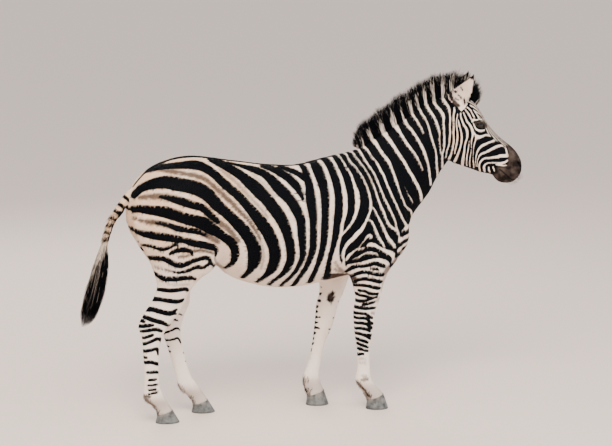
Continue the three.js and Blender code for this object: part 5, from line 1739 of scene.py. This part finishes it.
def horn_finish():
    """Matt grey horn by height, paler above and darker towards the ground, with dark blotches."""
    material, tree, shader = new_finish("hoof horn", 0.58)
    where = add_node(tree, "TexCoord", {}, "Object")
    height = add_node(tree, "SeparateXYZ", {"Vector": where}, "Z")
    blotch = add_node(tree, "TexNoise", {"Vector": where, "Scale": 1000 / BLOTCH_MM, "Detail": 4.0})
    upper = add_node(tree, "MapRange", {"Value": height, "From Min": 0.030, "From Max": 0.075})
    lower = add_node(tree, "MapRange", {"Value": height, "From Min": 0.010, "From Max": 0.0})
    lower = add_node(tree, "Math", {0: lower, 1: 0.8}, operation="MULTIPLY")
    blotch = add_node(tree, "Math", {0: blotch, 1: 3.0, 2: -1.15}, operation="MULTIPLY_ADD")
    horn = add_node(tree, "Mix", {0: upper, 6: srgb(HORN_GREY), 7: srgb(HORN_PALE)}, **RGBA)
    horn = add_node(tree, "Mix", {0: lower, 6: horn, 7: srgb(HORN_NEAR_GROUND)}, **RGBA)
    horn = add_node(tree, "Mix", {0: blotch, 6: horn, 7: srgb(HORN_DARK)}, **RGBA)
    tree.links.new(horn, shader["Base Color"])
    return material


# %% The four hooves
HORN = horn_finish()
HOOVES = [
    ("fore_right", FORE_LEG, 1, None, FORE_CORONET),
    ("fore_left", FORE_LEG, -1, LEFT_FORE_STEP, FORE_CORONET),
    ("hind_right", HIND_LEG, 1, None, HIND_CORONET),
    ("hind_left", HIND_LEG, -1, LEFT_HIND_STEP, HIND_CORONET),
]


def hoof(name, rungs, side, step, coronet):
    """The part of the leg's loft between the ground and the coronet, ringed sin(z)."""
    front, level, slope = coronet
    grid = loft(rungs, HOOF_AROUND, 620, 0.03, 0.95, 0.0, side, step)[-HOOF_ROWS:]
    z = grid[:, :, 2]
    middle = grid.mean(1, keepdims=True)
    rings = 0.0005 * np.sin(z * 2 * np.pi / RING_HEIGHT) * smoothstep(0.004, 0.012, z)
    over_coronet = z - coronet_height(grid.reshape(-1, 3)).reshape(z.shape)
    bulge = HORN_SWELL * bell(over_coronet, -0.004, 0.004)
    outward = unit((grid - middle) * np.array([1.0, 1.0, 0.0]))
    grid = grid + outward * (rings + bulge - HORN_SWELL)[..., None]
    obj = new_object(f"hoof_of_{name}", grid, tube_faces(HOOF_ROWS - 1, HOOF_AROUND))
    shift = step_at(step, 50) / 1000
    mesh = bmesh.new()
    mesh.from_mesh(obj.data)
    for place, normal in (((0, 0, 0), (0, 0, -1)), ((front + shift, 0, level), (-slope, 0, 1))):
        every = mesh.verts[:] + mesh.edges[:] + mesh.faces[:]
        cut = bmesh.ops.bisect_plane(mesh, geom=every, plane_co=place, plane_no=normal, clear_outer=True)
        rim = [e for e in cut["geom_cut"] if isinstance(e, bmesh.types.BMEdge)]
        bmesh.ops.contextual_create(mesh, geom=rim)
    bmesh.ops.recalc_face_normals(mesh, faces=mesh.faces)
    mesh.to_mesh(obj.data)
    mesh.free()
    set_points(obj, turned(points_of(obj)))
    obj.data.materials.append(HORN)
    obj.data.shade_smooth()
    obj.data.set_sharp_from_angle(angle=math.radians(40))
    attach(obj, "root")
    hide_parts(f"{name}_hoof")
    print(obj.name, len(obj.data.polygons), "faces")


for row in HOOVES:
    hoof(*row)

# %% [markdown]
# ## The skin takes its place
# The hide covers all the flesh, so the skin stands for every solid but the eyes, the mane, the
# tail's tuft and the hooves. It is turned only now, because its tufts were rooted on the straight
# animal.
# %% Turn the skin and name what it replaces
set_points(skin, turned(skin_straight))
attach(skin, "root")
KEPT_APART = ("eye", "mane", "tail_switch")
flesh_nodes = [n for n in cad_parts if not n.startswith(KEPT_APART) and not n.endswith("hoof")]
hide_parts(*flesh_nodes)
print("skin replaces", len(flesh_nodes), "nodes")

# %% [markdown]
# ## Floor, light and camera
# A plain pale floor reaches far beyond the animal on all sides. A large soft lamp hangs high on
# the right side of the animal, two weaker ones fill the shadows, and a broad one lights the
# whole floor evenly.
# %% Floor
FLOOR_COLOUR = "#dacbc2"
FLOOR_REACH = 90.0
corners = np.array([[-1, -1, 0], [1, -1, 0], [1, 1, 0], [-1, 1, 0]]) * FLOOR_REACH
floor = new_object("floor", corners - np.array([0, 0, 0.0004]), [[0, 1, 2, 3]])
floor_plaster, _, shader = new_finish("matt plaster floor", 0.95)
shader["Base Color"].default_value = srgb(FLOOR_COLOUR)
floor.data.materials.append(floor_plaster)
print("floor", 2 * FLOOR_REACH, "m wide")

# %% Lamps


def area_lamp(name, place, target, size, watts, colour):
    """A square lamp at `place` that shines towards `target`."""
    lamp = bpy.data.lights.new(name, "AREA")
    lamp.energy, lamp.size, lamp.color = watts, size, srgb(colour)[:3]
    holder = bpy.data.objects.new(name, lamp)
    holder.location = place
    aim = Vector(target) - Vector(place)
    holder.rotation_euler = aim.to_track_quat("-Z", "Y").to_euler()
    bpy.context.collection.objects.link(holder)


SKY_STRENGTH, SKY_SPREAD = 1.45, math.radians(70)
ROOM_COLOUR, ROOM_STRENGTH = "#f2f2f4", 0.95
# Name, place, target, side of the square in metres, watts, colour.
LAMPS = [
    ("key", (-1.6, -4.6, 5.6), (0.0, 0.0, 0.8), 3.6, 690, "#fff1e2"),
    ("fill", (4.6, -4.0, 2.6), (0.2, 0.0, 0.9), 3.2, 150, "#eef4ff"),
    ("back", (-0.8, 4.8, 4.2), (0.0, 0.0, 0.9), 3.4, 180, "#fff8f0"),
]
for row in LAMPS:
    area_lamp(*row)
sky_lamp = bpy.data.lights.new("sky", "SUN")
sky_lamp.energy, sky_lamp.angle, sky_lamp.color = SKY_STRENGTH, SKY_SPREAD, srgb("#fff4ea")[:3]
sky_holder = bpy.data.objects.new("sky", sky_lamp)
sky_holder.rotation_euler = Vector((0.15, 0.45, -1.0)).to_track_quat("-Z", "Y").to_euler()
bpy.context.collection.objects.link(sky_holder)
world = bpy.data.worlds.new("soft room")
world.use_nodes = True
room = world.node_tree.nodes["Background"].inputs
room["Color"].default_value = srgb(ROOM_COLOUR)
room["Strength"].default_value = ROOM_STRENGTH
bpy.context.scene.world = world
print(len(LAMPS), "lamps, a broad sky lamp and a pale room")

# %% Camera
CAMERA_AT = (-2.053, -8.345, 2.413)
CAMERA_YAW, CAMERA_PITCH = math.radians(14.0), math.radians(-9.45)
camera_data = bpy.data.cameras.new("camera")
camera_data.lens, camera_data.sensor_width = 100, 36
camera = bpy.data.objects.new("camera", camera_data)
camera.location = CAMERA_AT
camera.rotation_euler = (math.pi / 2 + CAMERA_PITCH, 0, -CAMERA_YAW)
bpy.context.collection.objects.link(camera)
bpy.context.scene.camera = camera
print("camera at", CAMERA_AT)
